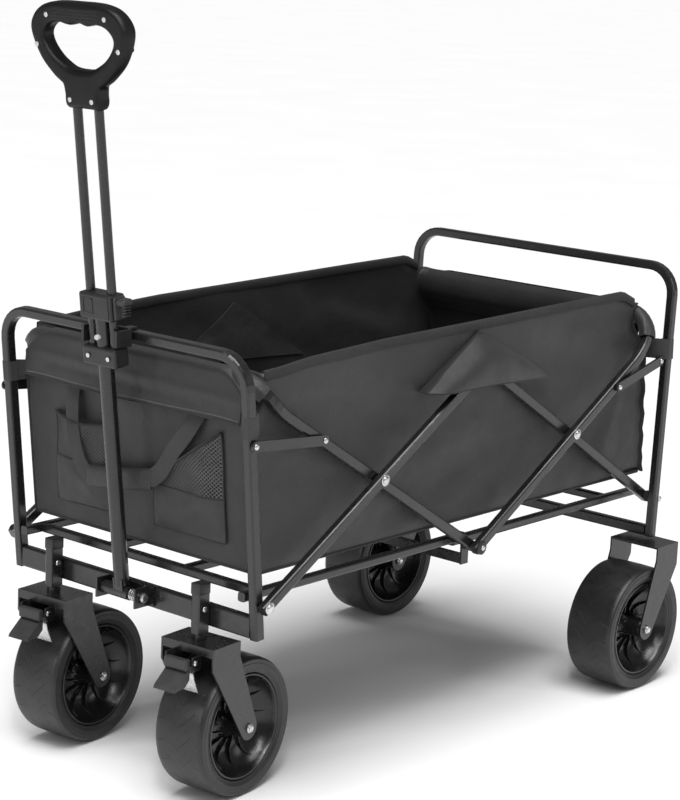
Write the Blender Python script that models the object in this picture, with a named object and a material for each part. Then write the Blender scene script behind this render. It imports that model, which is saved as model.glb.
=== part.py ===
"""Folding utility wagon with a telescopic pull handle.

Metres, +Z up, wheels on z = 0. The handle end is at -X, the rear end at +X, left is +Y.
The side frames are a double scissor; every scissor bar is pinned at its middle.
"""
import math

import bmesh
import bpy
import numpy as np
from mathutils import Matrix, Vector

# ---------------------------------------------------------------- driving sizes
X0 = 0.0640            # shift that puts the origin under the middle of the whole object
GAP = 0.0003

WHEEL_R = 0.0925
TYRE_HALF = 0.0385
BEAD_R = 0.0700        # where tyre and rim meet
AXLE_R = 0.0040

FRONT_HALF_W = 0.2250  # outer face of the front uprights
REAR_HALF_W = 0.2482   # outer face of the rear uprights
TUBE_Y, TUBE_X = 0.0130, 0.0150
REAR_TUBE = 0.0132
FRONT_FACE_X, FRONT_FOOT_Z, FRONT_TOP_Z, FRONT_LEAN = -0.4469, 0.2308, 0.5960, -0.1003
REAR_FACE_X, REAR_FOOT_Z, REAR_TOP_Z, REAR_LEAN = 0.3926, 0.2180, 0.6300, 0.0368
FRONT_BEND_R, REAR_BEND_R = 0.048, 0.047
EDGE_R = 0.0026         # rounding of the square tubes' long edges
CROSSBAR_TOP_Z = 0.2596

# scissor: foot pivots at +-2*HALF_SPAN from the middle, crossings at +-HALF_SPAN
MID_X = -0.0160
HALF_SPAN = 0.2120
PIVOT_Z = 0.2757       # foot pivots and bottom hubs
CROSS_Z = 0.4043       # crossings
TOP_Z = 2 * CROSS_Z - PIVOT_Z
SLOPE = math.atan2(CROSS_Z - PIVOT_Z, HALF_SPAN)
BAR_H, BAR_Y = 0.0140, 0.0120
PLANE_IN, PLANE_OUT = 0.2185, 0.2325   # |y| of the two bar planes
HOOP_R = 0.045
FRONT_HOOP_BEND, REAR_HOOP_BEND = 22.0, 36.0   # degrees, near the top of each hoop

LINK_T, LINK_H = 0.0040, 0.0135
LINK_FRONT_A = (-0.4652, 0.4818)       # on the front upright
LINK_FRONT_B = (-0.3386, 0.4714)       # on the front hoop
LINK_REAR_A = (0.3940, 0.4870)         # on the tab of the rear upright
LINK_REAR_B = (0.2896, 0.4612)         # on the rear hoop

RAIL = 0.0120
FRONT_RAIL_Z, REAR_RAIL_Z = 0.2840, 0.2745
FRONT_RAIL_Y, REAR_RAIL_Y = (0.2020, 0.0700), (0.1890, 0.0840)
FRONT_FLOOR_X, REAR_FLOOR_X = -0.4205, 0.3500

POST_Y = 0.1364
POST_SEC = (0.0200, 0.0140)
TRAIL = 0.0536
SWIVEL_REST = math.radians(5.3)
PLATE_TOP_Z = 0.2147
PLATE_X = (-0.0237, 0.0306)
FORK_HALF = 0.0400
LEG_T = 0.0025
REAR_AXLE = (0.3452, 0.2395)
REAR_PLATE_X = (0.3614, 0.4157)

HANDLE_PIVOT = (-0.4617, 0.2470)
HANDLE_SLOPE = -0.1224                 # x per z of the handle's own axis
HANDLE_TUBE_R = 0.0100
ROD_R, ROD_Y = 0.0060, 0.0190
COLLAR_W = (0.3660, 0.4000)            # along the handle, from the pivot
SLIDER_W = (0.3060, 0.3310)
GRIP_W = (0.6300, 0.7560)

BASKET_X = (-0.4285, 0.3680)
BASKET_HALF_Y = 0.1965
BASKET_Z = (0.3090, 0.5800)
BASKET_STEP = (0.4020, 0.5250)          # rear wall below the hoop's cross tube: x, and the top of that part
BASKET_WALL = 0.0040

# ---------------------------------------------------------------- materials
for ob in list(bpy.data.objects):
    bpy.data.objects.remove(ob, do_unlink=True)


def material(name, colour, rough, metal=0.0):
    m = bpy.data.materials.new(name)
    m.use_nodes = True
    b = m.node_tree.nodes["Principled BSDF"]
    b.inputs["Base Color"].default_value = (*colour, 1.0)
    b.inputs["Roughness"].default_value = rough
    b.inputs["Metallic"].default_value = metal
    m.diffuse_color = (*colour, 1.0)
    return m


PAINT = material("black_powder_coat", (0.022, 0.022, 0.023), 0.42)
STEEL = material("bright_steel", (0.62, 0.62, 0.63), 0.28, 1.0)
PLASTIC = material("black_plastic", (0.020, 0.020, 0.021), 0.50)
GREY_PLASTIC = material("grey_plastic", (0.045, 0.045, 0.047), 0.55)
TYRE = material("tyre_rubber", (0.028, 0.028, 0.029), 0.78)
RIM = material("rim_plastic", (0.012, 0.012, 0.013), 0.40)
CLOTH = material("oxford_cloth", (0.040, 0.040, 0.042), 0.90)
WHITE = material("white_plastic", (0.60, 0.60, 0.60), 0.40)


# ---------------------------------------------------------------- mesh helpers
def new_object(name, bm, mat, pivot=(0.0, 0.0, 0.0), smooth=35.0):
    """Turn a bmesh in wagon coordinates into an object whose origin is the pivot."""
    p = Vector(pivot)
    bmesh.ops.recalc_face_normals(bm, faces=bm.faces)
    bmesh.ops.translate(bm, verts=bm.verts, vec=-p)
    me = bpy.data.meshes.new(name)
    bm.to_mesh(me)
    bm.free()
    me.materials.append(mat)
    me.shade_smooth()
    me.set_sharp_from_angle(angle=math.radians(smooth))
    ob = bpy.data.objects.new(name, me)
    ob.location = p + Vector((X0, 0.0, 0.0))
    bpy.context.collection.objects.link(ob)
    return ob


def box(lo, hi):
    bm = bmesh.new()
    lo, hi = Vector(lo), Vector(hi)
    bmesh.ops.create_cube(bm, size=1.0)
    for v in bm.verts:
        v.co = Vector([lo[i] if v.co[i] < 0 else hi[i] for i in range(3)])
    return bm


def rounded_box(lo, hi, r, segments=2):
    bm = box(lo, hi)
    bmesh.ops.bevel(bm, geom=list(bm.edges), offset=r, segments=segments,
                    affect="EDGES", profile=0.5)
    return bm


def basis(axis):
    w = Vector(axis).normalized()
    u = w.cross(Vector((0, 0, 1)) if abs(w.z) < 0.9 else Vector((1, 0, 0))).normalized()
    return u, w.cross(u), w


def turned(points, origin, axis, n=24, closed=False):
    """Revolve (radius, along) points round an axis. Closed joins the last point to the first."""
    u, v, w = basis(axis)
    o = Vector(origin)
    bm = bmesh.new()
    rings = []
    for r, h in points:
        if r < 1e-7:
            rings.append([bm.verts.new(o + w * h)])
        else:
            rings.append([bm.verts.new(o + w * h + (u * math.cos(a) + v * math.sin(a)) * r)
                          for a in (2 * math.pi * k / n for k in range(n))])
    pairs = list(zip(rings, rings[1:])) + ([(rings[-1], rings[0])] if closed else [])
    for a, b in pairs:
        if len(a) == 1 and len(b) == 1:
            continue
        for k in range(n):
            k2 = (k + 1) % n
            loop = [a[k % len(a)], a[k2 % len(a)], b[k2 % len(b)], b[k % len(b)]]
            loop = list(dict.fromkeys(loop))
            if len(loop) > 2:
                bm.faces.new(loop)
    return bm


def rod(p0, p1, r, n=16):
    p0, p1 = Vector(p0), Vector(p1)
    length = (p1 - p0).length
    return turned([(0, 0), (r, 0), (r, length), (0, length)], p0, p1 - p0, n)


def prism(outline, y0, y1):
    """Extrude an (x, z) outline between two y values."""
    bm = bmesh.new()
    a = [bm.verts.new((x, y0, z)) for x, z in outline]
    b = [bm.verts.new((x, y1, z)) for x, z in outline]
    bm.faces.new(a)
    bm.faces.new(list(reversed(b)))
    for k in range(len(a)):
        k2 = (k + 1) % len(a)
        bm.faces.new([a[k], b[k], b[k2], a[k2]])
    return bm


def arc(cx, cz, r, a0, a1, n):
    return [(cx + r * math.cos(math.radians(a0 + (a1 - a0) * k / n)),
             cz + r * math.sin(math.radians(a0 + (a1 - a0) * k / n))) for k in range(n + 1)]


def slot_bar(p, q, height, y0, y1, n=8):
    """A flat bar with round ends, from pivot p to pivot q in (x, z)."""
    ang = math.degrees(math.atan2(q[1] - p[1], q[0] - p[0]))
    r = height / 2
    pts = arc(q[0], q[1], r, ang - 90, ang + 90, n) + arc(p[0], p[1], r, ang + 90, ang + 270, n)
    return prism(pts, y0, y1)


def section(wide, high, r, segments=2):
    """Rounded rectangle as (across, up) offsets."""
    pts = []
    for k, (a, b) in enumerate(((1, 1), (-1, 1), (-1, -1), (1, -1))):
        for i in range(segments + 1):
            t = math.radians(90 * k + 90 * i / segments)
            pts.append((a * (wide / 2 - r) + r * math.cos(t), b * (high / 2 - r) + r * math.sin(t)))
    return pts


def swept(path, origin, U, V, wide, high, r=EDGE_R):
    """Rectangular tube along a flat path of (s, t) points in the plane of U and V."""
    U, V = Vector(U).normalized(), Vector(V).normalized()
    N = U.cross(V)
    o = Vector(origin)
    pts = [np.array(p, float) for p in path]
    shape = section(wide, high, r)
    bm = bmesh.new()
    rings = []
    for i, p in enumerate(pts):
        d0 = pts[i] - pts[i - 1] if i else pts[1] - pts[0]
        d1 = pts[i + 1] - pts[i] if i < len(pts) - 1 else d0
        d0, d1 = d0 / np.linalg.norm(d0), d1 / np.linalg.norm(d1)
        t = (d0 + d1) / np.linalg.norm(d0 + d1)
        m = np.array([-t[1], t[0]]) / max(0.3, float(t @ d0))
        ring = []
        for a, b in shape:
            q = p + m * a
            ring.append(bm.verts.new(o + U * q[0] + V * q[1] + N * b))
        rings.append(ring)
    n = len(shape)
    for a, b in zip(rings, rings[1:]):
        for k in range(n):
            bm.faces.new([a[k], a[(k + 1) % n], b[(k + 1) % n], b[k]])
    bm.faces.new(list(reversed(rings[0])))
    bm.faces.new(rings[-1])
    return bm


def bar(p, q, across, wide, high, r=EDGE_R):
    """Straight tube from p to q; wide is measured along across."""
    p, q = Vector(p), Vector(q)
    return swept([(0, 0), ((q - p).length, 0)], p, q - p, across, wide, high, r)


def hoop_path(half, length, r, n=7):
    """Up one leg, across and down the other: s runs up the legs, t is y."""
    right = [(0.0, -half)]
    right += [(length - r + r * math.sin(a), -half + r - r * math.cos(a))
              for a in (math.pi / 2 * k / n for k in range(n + 1))]
    return right + [(s, -t) for s, t in reversed(right)]


def boolean(ob, other, mode):
    """Apply an exact boolean with another object, which is then removed."""
    mod = ob.modifiers.new("b", "BOOLEAN")
    mod.operation, mod.solver, mod.object = mode, "EXACT", other
    bpy.context.view_layer.update()
    ev = ob.evaluated_get(bpy.context.evaluated_depsgraph_get())
    me = bpy.data.meshes.new_from_object(ev)
    ob.modifiers.remove(mod)
    old, name = ob.data, ob.data.name
    ob.data = me
    bpy.data.meshes.remove(old)
    me.name = name
    bpy.data.objects.remove(other, do_unlink=True)
    return ob


def united(name, parts, mat, pivot=(0, 0, 0), cut=(), smooth=35.0):
    """Union of closed shapes, less the cutters."""
    ob = new_object(name, parts[0], mat, pivot, smooth)
    for mode, shapes in (("UNION", parts[1:]), ("DIFFERENCE", cut)):
        for bm in shapes:
            boolean(ob, new_object("tool", bm, mat, pivot), mode)
    me = ob.data
    me.materials.clear()
    me.materials.append(mat)
    bm = bmesh.new()
    bm.from_mesh(me)
    bmesh.ops.remove_doubles(bm, verts=bm.verts, dist=1e-6)
    bmesh.ops.dissolve_degenerate(bm, dist=1e-7, edges=bm.edges)
    bmesh.ops.triangulate(bm, faces=[f for f in bm.faces if len(f.verts) > 4])
    for f in bm.faces:
        f.material_index = 0
    bm.to_mesh(me)
    bm.free()
    me.shade_smooth()
    me.set_sharp_from_angle(angle=math.radians(smooth))
    return ob


SIDES = (("left", 1), ("right", -1))
F0 = (MID_X - 2 * HALF_SPAN, PIVOT_Z)
R0 = (MID_X + 2 * HALF_SPAN, PIVOT_Z)
Q0 = (MID_X, PIVOT_Z)
T0 = (MID_X, TOP_Z)
CS, SN = math.cos(SLOPE), math.sin(SLOPE)


def front_x(z):
    """Middle of the front frame's tube at a height."""
    return FRONT_FACE_X + TUBE_X / 2 + FRONT_LEAN * (z - FRONT_FOOT_Z)


def rear_x(z):
    return REAR_FACE_X + REAR_TUBE / 2 + REAR_LEAN * (z - REAR_FOOT_Z)


# ---------------------------------------------------------------- front frame
up = Vector((FRONT_LEAN, 0, 1)).normalized()
leg = (FRONT_TOP_Z - TUBE_Y / 2 - FRONT_FOOT_Z) / up.z
half = FRONT_HALF_W - TUBE_Y / 2
new_object("front_frame_tube",
           swept(hoop_path(half, leg, FRONT_BEND_R - TUBE_Y / 2, 8),
                 (front_x(FRONT_FOOT_Z), 0, FRONT_FOOT_Z), up, (0, 1, 0), TUBE_Y, TUBE_X),
           PAINT)
inner = half - TUBE_Y / 2 - GAP
bar_h = CROSSBAR_TOP_Z - FRONT_FOOT_Z
bar_x = FRONT_FACE_X + (TUBE_X - 0.003) / 2
bar_z = FRONT_FOOT_Z + bar_h / 2
new_object("front_crossbar",
           bar((bar_x, -inner, bar_z), (bar_x, inner, bar_z), (0, 0, 1), bar_h, TUBE_X - 0.003), PAINT)

px, py = POST_SEC
post_hi, post_lo = 0.2885, PLATE_TOP_Z + 0.0085
post_cx = FRONT_FACE_X - GAP - px / 2
for name, s in SIDES:
    new_object(f"caster_post_{name}", bar((post_cx, s * POST_Y, post_lo), (post_cx, s * POST_Y, post_hi),
                                          (1, 0, 0), px, py, 0.0020), PAINT)

# handle bracket: back plate and two ears, bored for the pin
hx, hz = HANDLE_PIVOT
ears = [box((hx - 0.0130, s * 0.0355 - 0.0015, 0.2340),
            (FRONT_FACE_X - 0.0020, s * 0.0355 + 0.0015, 0.2600)) for _, s in SIDES]
plate = box((FRONT_FACE_X - 0.0030, -0.0450, 0.2345), (FRONT_FACE_X - GAP, 0.0450, 0.2590))
united("handle_bracket", [plate] + ears, PAINT,
       cut=[rod((hx, -0.05, hz), (hx, 0.05, hz), AXLE_R + 0.0002, 16)])
pin = [rod((hx, -0.0372, hz), (hx, 0.0372, hz), AXLE_R, 16)]
pin += [turned([(0, -0.0002), (0.0070, GAP), (0.0070, 0.0035), (0.0045, 0.0055), (0, 0.0055)],
               (hx, s * 0.0372, hz), (0, s, 0), 14) for _, s in SIDES]
united("handle_pin", pin, STEEL)


def coil(x, z, y0, y1, radius, wire, turns, per_turn=10, sides=4):
    bm = bmesh.new()
    rings = []
    total = turns * per_turn
    for k in range(total + 1):
        a = 2 * math.pi * k / per_turn
        y = y0 + (y1 - y0) * k / total
        c = Vector((x + radius * math.cos(a), y, z + radius * math.sin(a)))
        out = Vector((math.cos(a), 0, math.sin(a)))
        rings.append([bm.verts.new(c + out * (wire * math.cos(b)) + Vector((0, wire * math.sin(b), 0)))
                      for b in (2 * math.pi * j / sides for j in range(sides))])
    for a, b in zip(rings, rings[1:]):
        for j in range(sides):
            bm.faces.new([a[j], b[j], b[(j + 1) % sides], a[(j + 1) % sides]])
    bm.faces.new(rings[0])
    bm.faces.new(list(reversed(rings[-1])))
    return bm


new_object("handle_spring", coil(hx, hz, -0.0165, -0.0322, 0.0068, 0.0011, 4), STEEL)

# clip on the top bar that holds the handle tube
tube_x = hx + HANDLE_SLOPE * (0.5895 - hz)
bar_front = front_x(0.5895) - TUBE_X / 2
saddle = rounded_box((bar_front - 0.0075, -0.0300, 0.5760), (bar_front - 0.0010, 0.0300, 0.6000), 0.0012, 1)
arms = [box((tube_x - 0.0090, s * 0.0300 - 0.0022, 0.5775),
            (bar_front - 0.0040, s * 0.0300 + 0.0022, 0.5985)) for _, s in SIDES]
hooks = [box((bar_front - 0.0040, s * 0.0180 - 0.0060, FRONT_TOP_Z + 0.0011),
             (bar_front + TUBE_X - 0.0010, s * 0.0180 + 0.0060, FRONT_TOP_Z + 0.0030)) for _, s in SIDES]
united("handle_clip", [saddle] + arms + hooks, PLASTIC)

# ---------------------------------------------------------------- scissor bars
ARM_END = (0.008, 0.010)               # how far an arm runs past its foot and its top pivot


def arm(name, foot_x, y):
    """Straight scissor arm from a foot pivot to the top hub, in the plane at y."""
    d = Vector((T0[0] - foot_x, 0, T0[1] - PIVOT_Z)).normalized()
    a = Vector((foot_x, y, PIVOT_Z)) - d * ARM_END[0]
    b = Vector((T0[0], y, T0[1])) + d * ARM_END[1]
    new_object(name, bar(a, b, d.cross(Vector((0, 1, 0))), BAR_H, BAR_Y), PAINT, (foot_x, y, PIVOT_Z))


for name, s in SIDES:
    arm(f"arm_front_{name}", F0[0], s * PLANE_OUT)
    arm(f"arm_rear_{name}", R0[0], s * PLANE_IN)
face_out = PLANE_OUT + BAR_Y / 2

# hoops: two legs and a cross tube that carries the rim of the basket
def bent_up(bm, direction, start, radius, most):
    """Curve the upper end of a flat hoop upwards: straight until start, then an arc, then straight."""
    for v in bm.verts:
        x, z = (v.co.x - Q0[0]) * direction, v.co.z - Q0[1]
        along_, off = x * CS + z * SN, -x * SN + z * CS
        a = max(0.0, min(most, (along_ - start) / radius))
        rest = max(0.0, along_ - start - radius * most)
        s_ = min(along_, start) + (radius - off) * math.sin(a) + rest * math.cos(a)
        n_ = radius - (radius - off) * math.cos(a) + rest * math.sin(a)
        if a == 0.0:
            s_, n_ = along_, off
        v.co.x = Q0[0] + direction * (s_ * CS - n_ * SN)
        v.co.z = Q0[1] + s_ * SN + n_ * CS
    return bm


for name, direction, plane, length, start, most in (
        ("front_hoop_tube", -1, PLANE_IN, 0.5130, 0.4490, math.radians(FRONT_HOOP_BEND)),
        ("rear_hoop_tube", 1, PLANE_OUT, 0.4970, 0.4110, math.radians(REAR_HOOP_BEND))):
    u = Vector((direction * CS, 0, SN))
    path = hoop_path(plane, length, HOOP_R, 7)
    path[0] = (-0.008, path[0][1])
    straight = [start + k * 0.012 for k in range(5)]
    extra = [(a, path[0][1]) for a in straight if a < length - HOOP_R - 0.004]
    path = path[:1] + extra + path[1:-1] + [(a, -b) for a, b in reversed(extra)] + [(-0.008, plane)]
    hoop = swept(path, (Q0[0], 0, Q0[1]), u, (0, 1, 0), BAR_Y, BAR_H)
    new_object(name, bent_up(hoop, direction, start, 0.09, most), PAINT, (Q0[0], 0, Q0[1]))
for name, s in SIDES:
    new_object(f"bottom_hub_{name}",
               turned([(0, GAP), (0.0100, GAP), (0.0100, 0.0020), (0.0070, 0.0034), (0, 0.0034)],
                      (Q0[0], s * face_out, Q0[1]), (0, s, 0), 16), PLASTIC, (Q0[0], 0, Q0[1]))

# ---------------------------------------------------------------- links
y_link = PLANE_OUT - BAR_Y / 2
y_rlink = PLANE_OUT + BAR_Y / 2 + 0.0012
for name, s in SIDES:
    new_object(f"link_front_{name}",
               slot_bar(LINK_FRONT_A, LINK_FRONT_B, LINK_H, s * y_link, s * (y_link + LINK_T - 2 * GAP)),
               PAINT, (LINK_FRONT_A[0], s * y_link, LINK_FRONT_A[1]))
    new_object(f"link_rear_{name}",
               slot_bar(LINK_REAR_A, LINK_REAR_B, LINK_H, s * y_rlink, s * (y_rlink + LINK_T - GAP)),
               PAINT, (LINK_REAR_A[0], s * y_rlink, LINK_REAR_A[1]))

# ---------------------------------------------------------------- rear frame
up = Vector((REAR_LEAN, 0, 1)).normalized()
leg = (REAR_TOP_Z - REAR_TUBE / 2 - REAR_FOOT_Z) / up.z
half = REAR_HALF_W - REAR_TUBE / 2
rear_hoop = swept(hoop_path(half, leg, REAR_BEND_R - REAR_TUBE / 2, 8),
                  (rear_x(REAR_FOOT_Z), 0, REAR_FOOT_Z), up, (0, 1, 0), REAR_TUBE, REAR_TUBE)
inner = half - REAR_TUBE / 2 - GAP
new_object("rear_crossbar", bar((REAR_FACE_X + 0.006, -inner, REAR_FOOT_Z + 0.0085),
                                (REAR_FACE_X + 0.006, inner, REAR_FOOT_Z + 0.0085),
                                (0, 0, 1), 0.0160, 0.0120), PAINT)
tabs = []
for _, s in SIDES:
    x1 = rear_x(LINK_REAR_A[1]) - REAR_TUBE / 2 + 0.0010
    ya, yb = s * (REAR_HALF_W - REAR_TUBE + 0.0004), s * (y_rlink - GAP)
    tabs.append(box((LINK_REAR_A[0] - 0.005, min(ya, yb), LINK_REAR_A[1] - 0.0060),
                    (x1, max(ya, yb), LINK_REAR_A[1] + 0.0060)))
united("rear_frame_tube", [rear_hoop] + tabs, PAINT)
spacer_t = REAR_HALF_W - REAR_TUBE - PLANE_IN - BAR_Y / 2 - 2 * GAP
for name, s in SIDES:
    new_object(f"foot_spacer_{name}",
               turned([(0, 0), (0.0085, 0), (0.0085, spacer_t), (0, spacer_t)],
                      (R0[0], s * (PLANE_IN + BAR_Y / 2 + GAP), R0[1]), (0, s, 0), 16), PLASTIC)


# ---------------------------------------------------------------- forks and wheels
def leg_outline(x0, x1, ax, z_full_front, z_full_rear, r=0.0160):
    """Fork leg in its own (x, z): full width at the plate, tapering to a round end on the axle."""
    az = WHEEL_R

    def tangent(px_, pz_, sign):
        d = math.hypot(px_ - ax, pz_ - az)
        base = math.atan2(pz_ - az, px_ - ax)
        return base + sign * math.acos(r / d)

    a_rear = tangent(x1, z_full_rear, -1)
    a_front = tangent(x0, z_full_front, 1)
    while a_front > a_rear:
        a_front -= 2 * math.pi
    pts = [(x0, PLATE_TOP_Z), (x1, PLATE_TOP_Z), (x1, z_full_rear)]
    n = 10
    pts += [(ax + r * math.cos(a_rear + (a_front - a_rear) * k / n),
             az + r * math.sin(a_rear + (a_front - a_rear) * k / n)) for k in range(n + 1)]
    pts += [(x0, z_full_front)]
    return pts


def brake_cheeks(cx, cy):
    """Two small ears on the front edge of the caster that carry the brake pivot."""
    x1 = cx + PLATE_X[0] + 0.0010
    outline = [(x1, 0.2040), (x1, 0.1850), (x1 - 0.0130, 0.1850), (x1 - 0.0180, 0.1950),
               (x1 - 0.0160, 0.2040)]
    return [prism(outline, cy + s * 0.0200, cy + s * 0.0228) for s in (1, -1)]


def fork(name, cx, cy, px0, px1, ax, pivot, caster, z_front=0.186, z_rear=0.195):
    outline = leg_outline(px0, px1, ax, z_front, z_rear)
    outline = [(cx + a, b) for a, b in outline]
    parts = [box((cx + px0, cy - FORK_HALF - 0.001, PLATE_TOP_Z - 0.0030),
                 (cx + px1, cy + FORK_HALF + 0.001, PLATE_TOP_Z - 0.00002))]
    for s in (1, -1):
        parts.append(prism(outline, cy + s * FORK_HALF, cy + s * (FORK_HALF + LEG_T)))
    if caster:
        parts += brake_cheeks(cx, cy)
        parts.append(box((cx + px0 + 0.0001, cy - FORK_HALF - 0.001, PLATE_TOP_Z - 0.0115),
                         (cx + px0 + 0.0026, cy + FORK_HALF + 0.001, PLATE_TOP_Z - 0.0001)))
        parts.append(turned([(0, 0), (0.0090, 0), (0.0090, 0.0082), (0, 0.0082)],
                            (cx, cy, PLATE_TOP_Z - 0.0010), (0, 0, 1), 20))
    hole = rod((cx + ax, cy - 0.05, WHEEL_R), (cx + ax, cy + 0.05, WHEEL_R), AXLE_R + 0.0002, 16)
    return united(name, parts, PAINT, pivot, cut=[hole])


def axle(name, x, y, pivot):
    """Bolt through both legs with a head at each end."""
    reach = FORK_HALF + LEG_T
    end = [(AXLE_R, reach), (AXLE_R, reach + GAP), (0.0062, reach + GAP), (0.0062, reach + 0.0022),
           (0.0035, reach + 0.0038), (0, reach + 0.0038)]
    pts = [(r, -h) for r, h in reversed(end)] + end
    new_object(f"axle_{name}", turned(pts, (x, y, WHEEL_R), (0, 1, 0), 16), STEEL, pivot)


def crown(h):
    """Outer radius of the tyre at a distance h from its middle plane: nearly flat, with tight shoulders."""
    t = min(1.0, abs(h) / TYRE_HALF)
    return WHEEL_R - 0.0012 * t ** 2 - 0.0042 * max(0.0, (t - 0.86) / 0.14) ** 2


def tyre_mesh(x, y):
    outer = [-1.0, -0.94, -0.86, 0.0, 0.86, 0.94, 1.0]
    pts = [(crown(t * TYRE_HALF), t * TYRE_HALF) for t in outer]
    pts += [(0.0765, TYRE_HALF - 0.0015), (BEAD_R + GAP, 0.0330), (BEAD_R + GAP, -0.0330),
            (0.0765, -TYRE_HALF + 0.0015)]
    return turned(pts, (x, y, WHEEL_R), (0, 1, 0), 40, closed=True)


def rim_mesh(x, y):
    """Barrel, dished web and hub as one turned shape with an axle bore."""
    bore = AXLE_R + 0.0003
    side = [(bore, 0.0385), (0.0135, 0.0385), (0.0150, 0.0200), (0.0220, 0.0060), (0.0340, 0.0040),
            (0.0470, 0.0075), (0.0590, 0.0190), (0.0660, 0.0340), (BEAD_R, 0.0350)]
    pts = side + [(r, -h) for r, h in reversed(side)]
    return turned(pts, (x, y, WHEEL_R), (0, 1, 0), 28, closed=True)


def wheel(tag, x, y, pivot):
    new_object(f"tyre_{tag}", tyre_mesh(x, y), TYRE, pivot, 50.0)
    new_object(f"rim_{tag}", rim_mesh(x, y), RIM, pivot)


def brake(name, cx, cy, pivot):
    """Foot brake on the front of a caster fork: pad, lever and pressing plate on one pivot."""
    bx, bz = cx - 0.0350, 0.2010
    pad = rounded_box((bx - 0.0130, cy - 0.0185, 0.1865), (bx - 0.0030, cy + 0.0185, 0.2015), 0.0025, 2)
    lever = prism([(bx - 0.0330, 0.1640), (bx - 0.0310, 0.1680), (bx - 0.0085, 0.1862),
                   (bx - 0.0035, 0.1862), (bx - 0.0035, 0.1740), (bx - 0.0120, 0.1660)],
                  cy - 0.0170, cy + 0.0170)
    neck = box((bx - 0.0085, cy - 0.0100, 0.1840), (bx - 0.0040, cy + 0.0100, 0.1890))
    united(f"brake_pedal_{name}", [lever, neck, pad], GREY_PLASTIC, pivot)
    new_object(f"brake_plate_{name}",
               prism([(bx + 0.0005, 0.1900), (bx + 0.0018, 0.1900), (bx + 0.0055, 0.1720),
                      (bx + 0.0140, 0.1540), (bx + 0.0129, 0.1530), (bx + 0.0042, 0.1715)],
                     cy - 0.0180, cy + 0.0180), STEEL, pivot)


for name, s in SIDES:
    before = set(bpy.data.objects)
    stem_pivot = (post_cx, s * POST_Y, PLATE_TOP_Z)
    fork(f"fork_front_{name}", post_cx, s * POST_Y, PLATE_X[0], PLATE_X[1], TRAIL, stem_pivot, True)
    wheel(f"front_{name}", post_cx + TRAIL, s * POST_Y, (post_cx + TRAIL, s * POST_Y, WHEEL_R))
    axle(f"front_{name}", post_cx + TRAIL, s * POST_Y, stem_pivot)
    brake(name, post_cx, s * POST_Y, stem_pivot)
    # both casters trail a few degrees to the left
    turn = (Matrix.Translation((post_cx + X0, s * POST_Y, 0)) @ Matrix.Rotation(SWIVEL_REST, 4, "Z")
            @ Matrix.Translation((-post_cx - X0, -s * POST_Y, 0)))
    bpy.context.view_layer.update()
    for ob in set(bpy.data.objects) - before:
        ob.matrix_world = turn @ ob.matrix_world
for name, s in SIDES:
    mid = (REAR_AXLE[0], s * REAR_AXLE[1], WHEEL_R)
    fork(f"fork_rear_{name}", REAR_AXLE[0], s * REAR_AXLE[1], REAR_PLATE_X[0] - REAR_AXLE[0],
         REAR_PLATE_X[1] - REAR_AXLE[0], 0.0, (0, 0, 0), False, z_front=0.195, z_rear=0.180)
    wheel(f"rear_{name}", *mid[:2], mid)
    axle(f"rear_{name}", *mid[:2], (0, 0, 0))

# ---------------------------------------------------------------- centre support and top hubs
zc = 0.2530
y_end = PLANE_IN - BAR_Y / 2 - 0.0010
support = [box((Q0[0] - 0.006, -y_end + 0.0001, zc - 0.006), (Q0[0] + 0.006, y_end - 0.0001, zc + 0.006))]
for _, s in SIDES:
    ya, yb = s * (y_end - 0.003), s * y_end
    support.append(prism([(Q0[0] - 0.0075, zc - 0.0065), (Q0[0] + 0.0075, zc - 0.0065),
                          (Q0[0] + 0.0075, PIVOT_Z), (Q0[0] + 0.0050, PIVOT_Z + 0.0070),
                          (Q0[0] - 0.0050, PIVOT_Z + 0.0070), (Q0[0] - 0.0075, PIVOT_Z)],
                         min(ya, yb), max(ya, yb)))
united("centre_support", support, PAINT, (Q0[0], 0, Q0[1]))
for name, s in SIDES:
    new_object(f"top_hub_{name}",
               turned([(0, GAP), (0.0105, GAP), (0.0105, 0.0022), (0.0080, 0.0036), (0, 0.0036)],
                      (T0[0], s * face_out, T0[1]), (0, s, 0), 16), PLASTIC, (T0[0], 0, T0[1]))

# ---------------------------------------------------------------- floor frame, in two folding halves
FLOOR_HALVES = (("front", F0[0], FRONT_FLOOR_X, FRONT_RAIL_Y, FRONT_RAIL_Z, 1),
                ("rear", R0[0], REAR_FLOOR_X, REAR_RAIL_Y, REAR_RAIL_Z, -1))
for half_name, foot, crossing, ys, z, sign in FLOOR_HALVES:
    tip = MID_X + sign * 0.004
    side_y, mid_y = ys
    bars = [bar((crossing, -side_y, z), (crossing, side_y, z), (0, 0, 1), RAIL, RAIL - 0.0004)]
    for s in (1, -1):
        bars.append(bar((foot - sign * 0.0130, s * side_y, z), (tip, s * side_y, z), (0, 0, 1), RAIL, RAIL))
        bars.append(bar((crossing, s * mid_y, z), (tip, s * mid_y, z), (0, 0, 1), RAIL - 0.0002, RAIL))
    united(f"floor_frame_{half_name}", bars, PAINT, (foot, 0, PIVOT_Z))

# ---------------------------------------------------------------- handle
ax_h = Vector((HANDLE_SLOPE, 0, 1)).normalized()
fwd = Vector((0, 1, 0)).cross(ax_h)          # across the handle, towards the rear
hp = Vector((hx, 0, hz))


def along(w, v=0.0, u=0.0):
    """Point on the handle: w along it from the pivot, u to the left, v to the rear."""
    return hp + ax_h * w + fwd * v + Vector((0, u, 0))


def handle_block(u0, u1, v0, v1, w0, w1, bevel=0.0, segments=2):
    lo, hi = (u0, v0, w0), (u1, v1, w1)
    bm = rounded_box(lo, hi, bevel, segments) if bevel else box(lo, hi)
    for v in bm.verts:
        v.co = along(v.co.z, v.co.y, v.co.x)
    return bm


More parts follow.
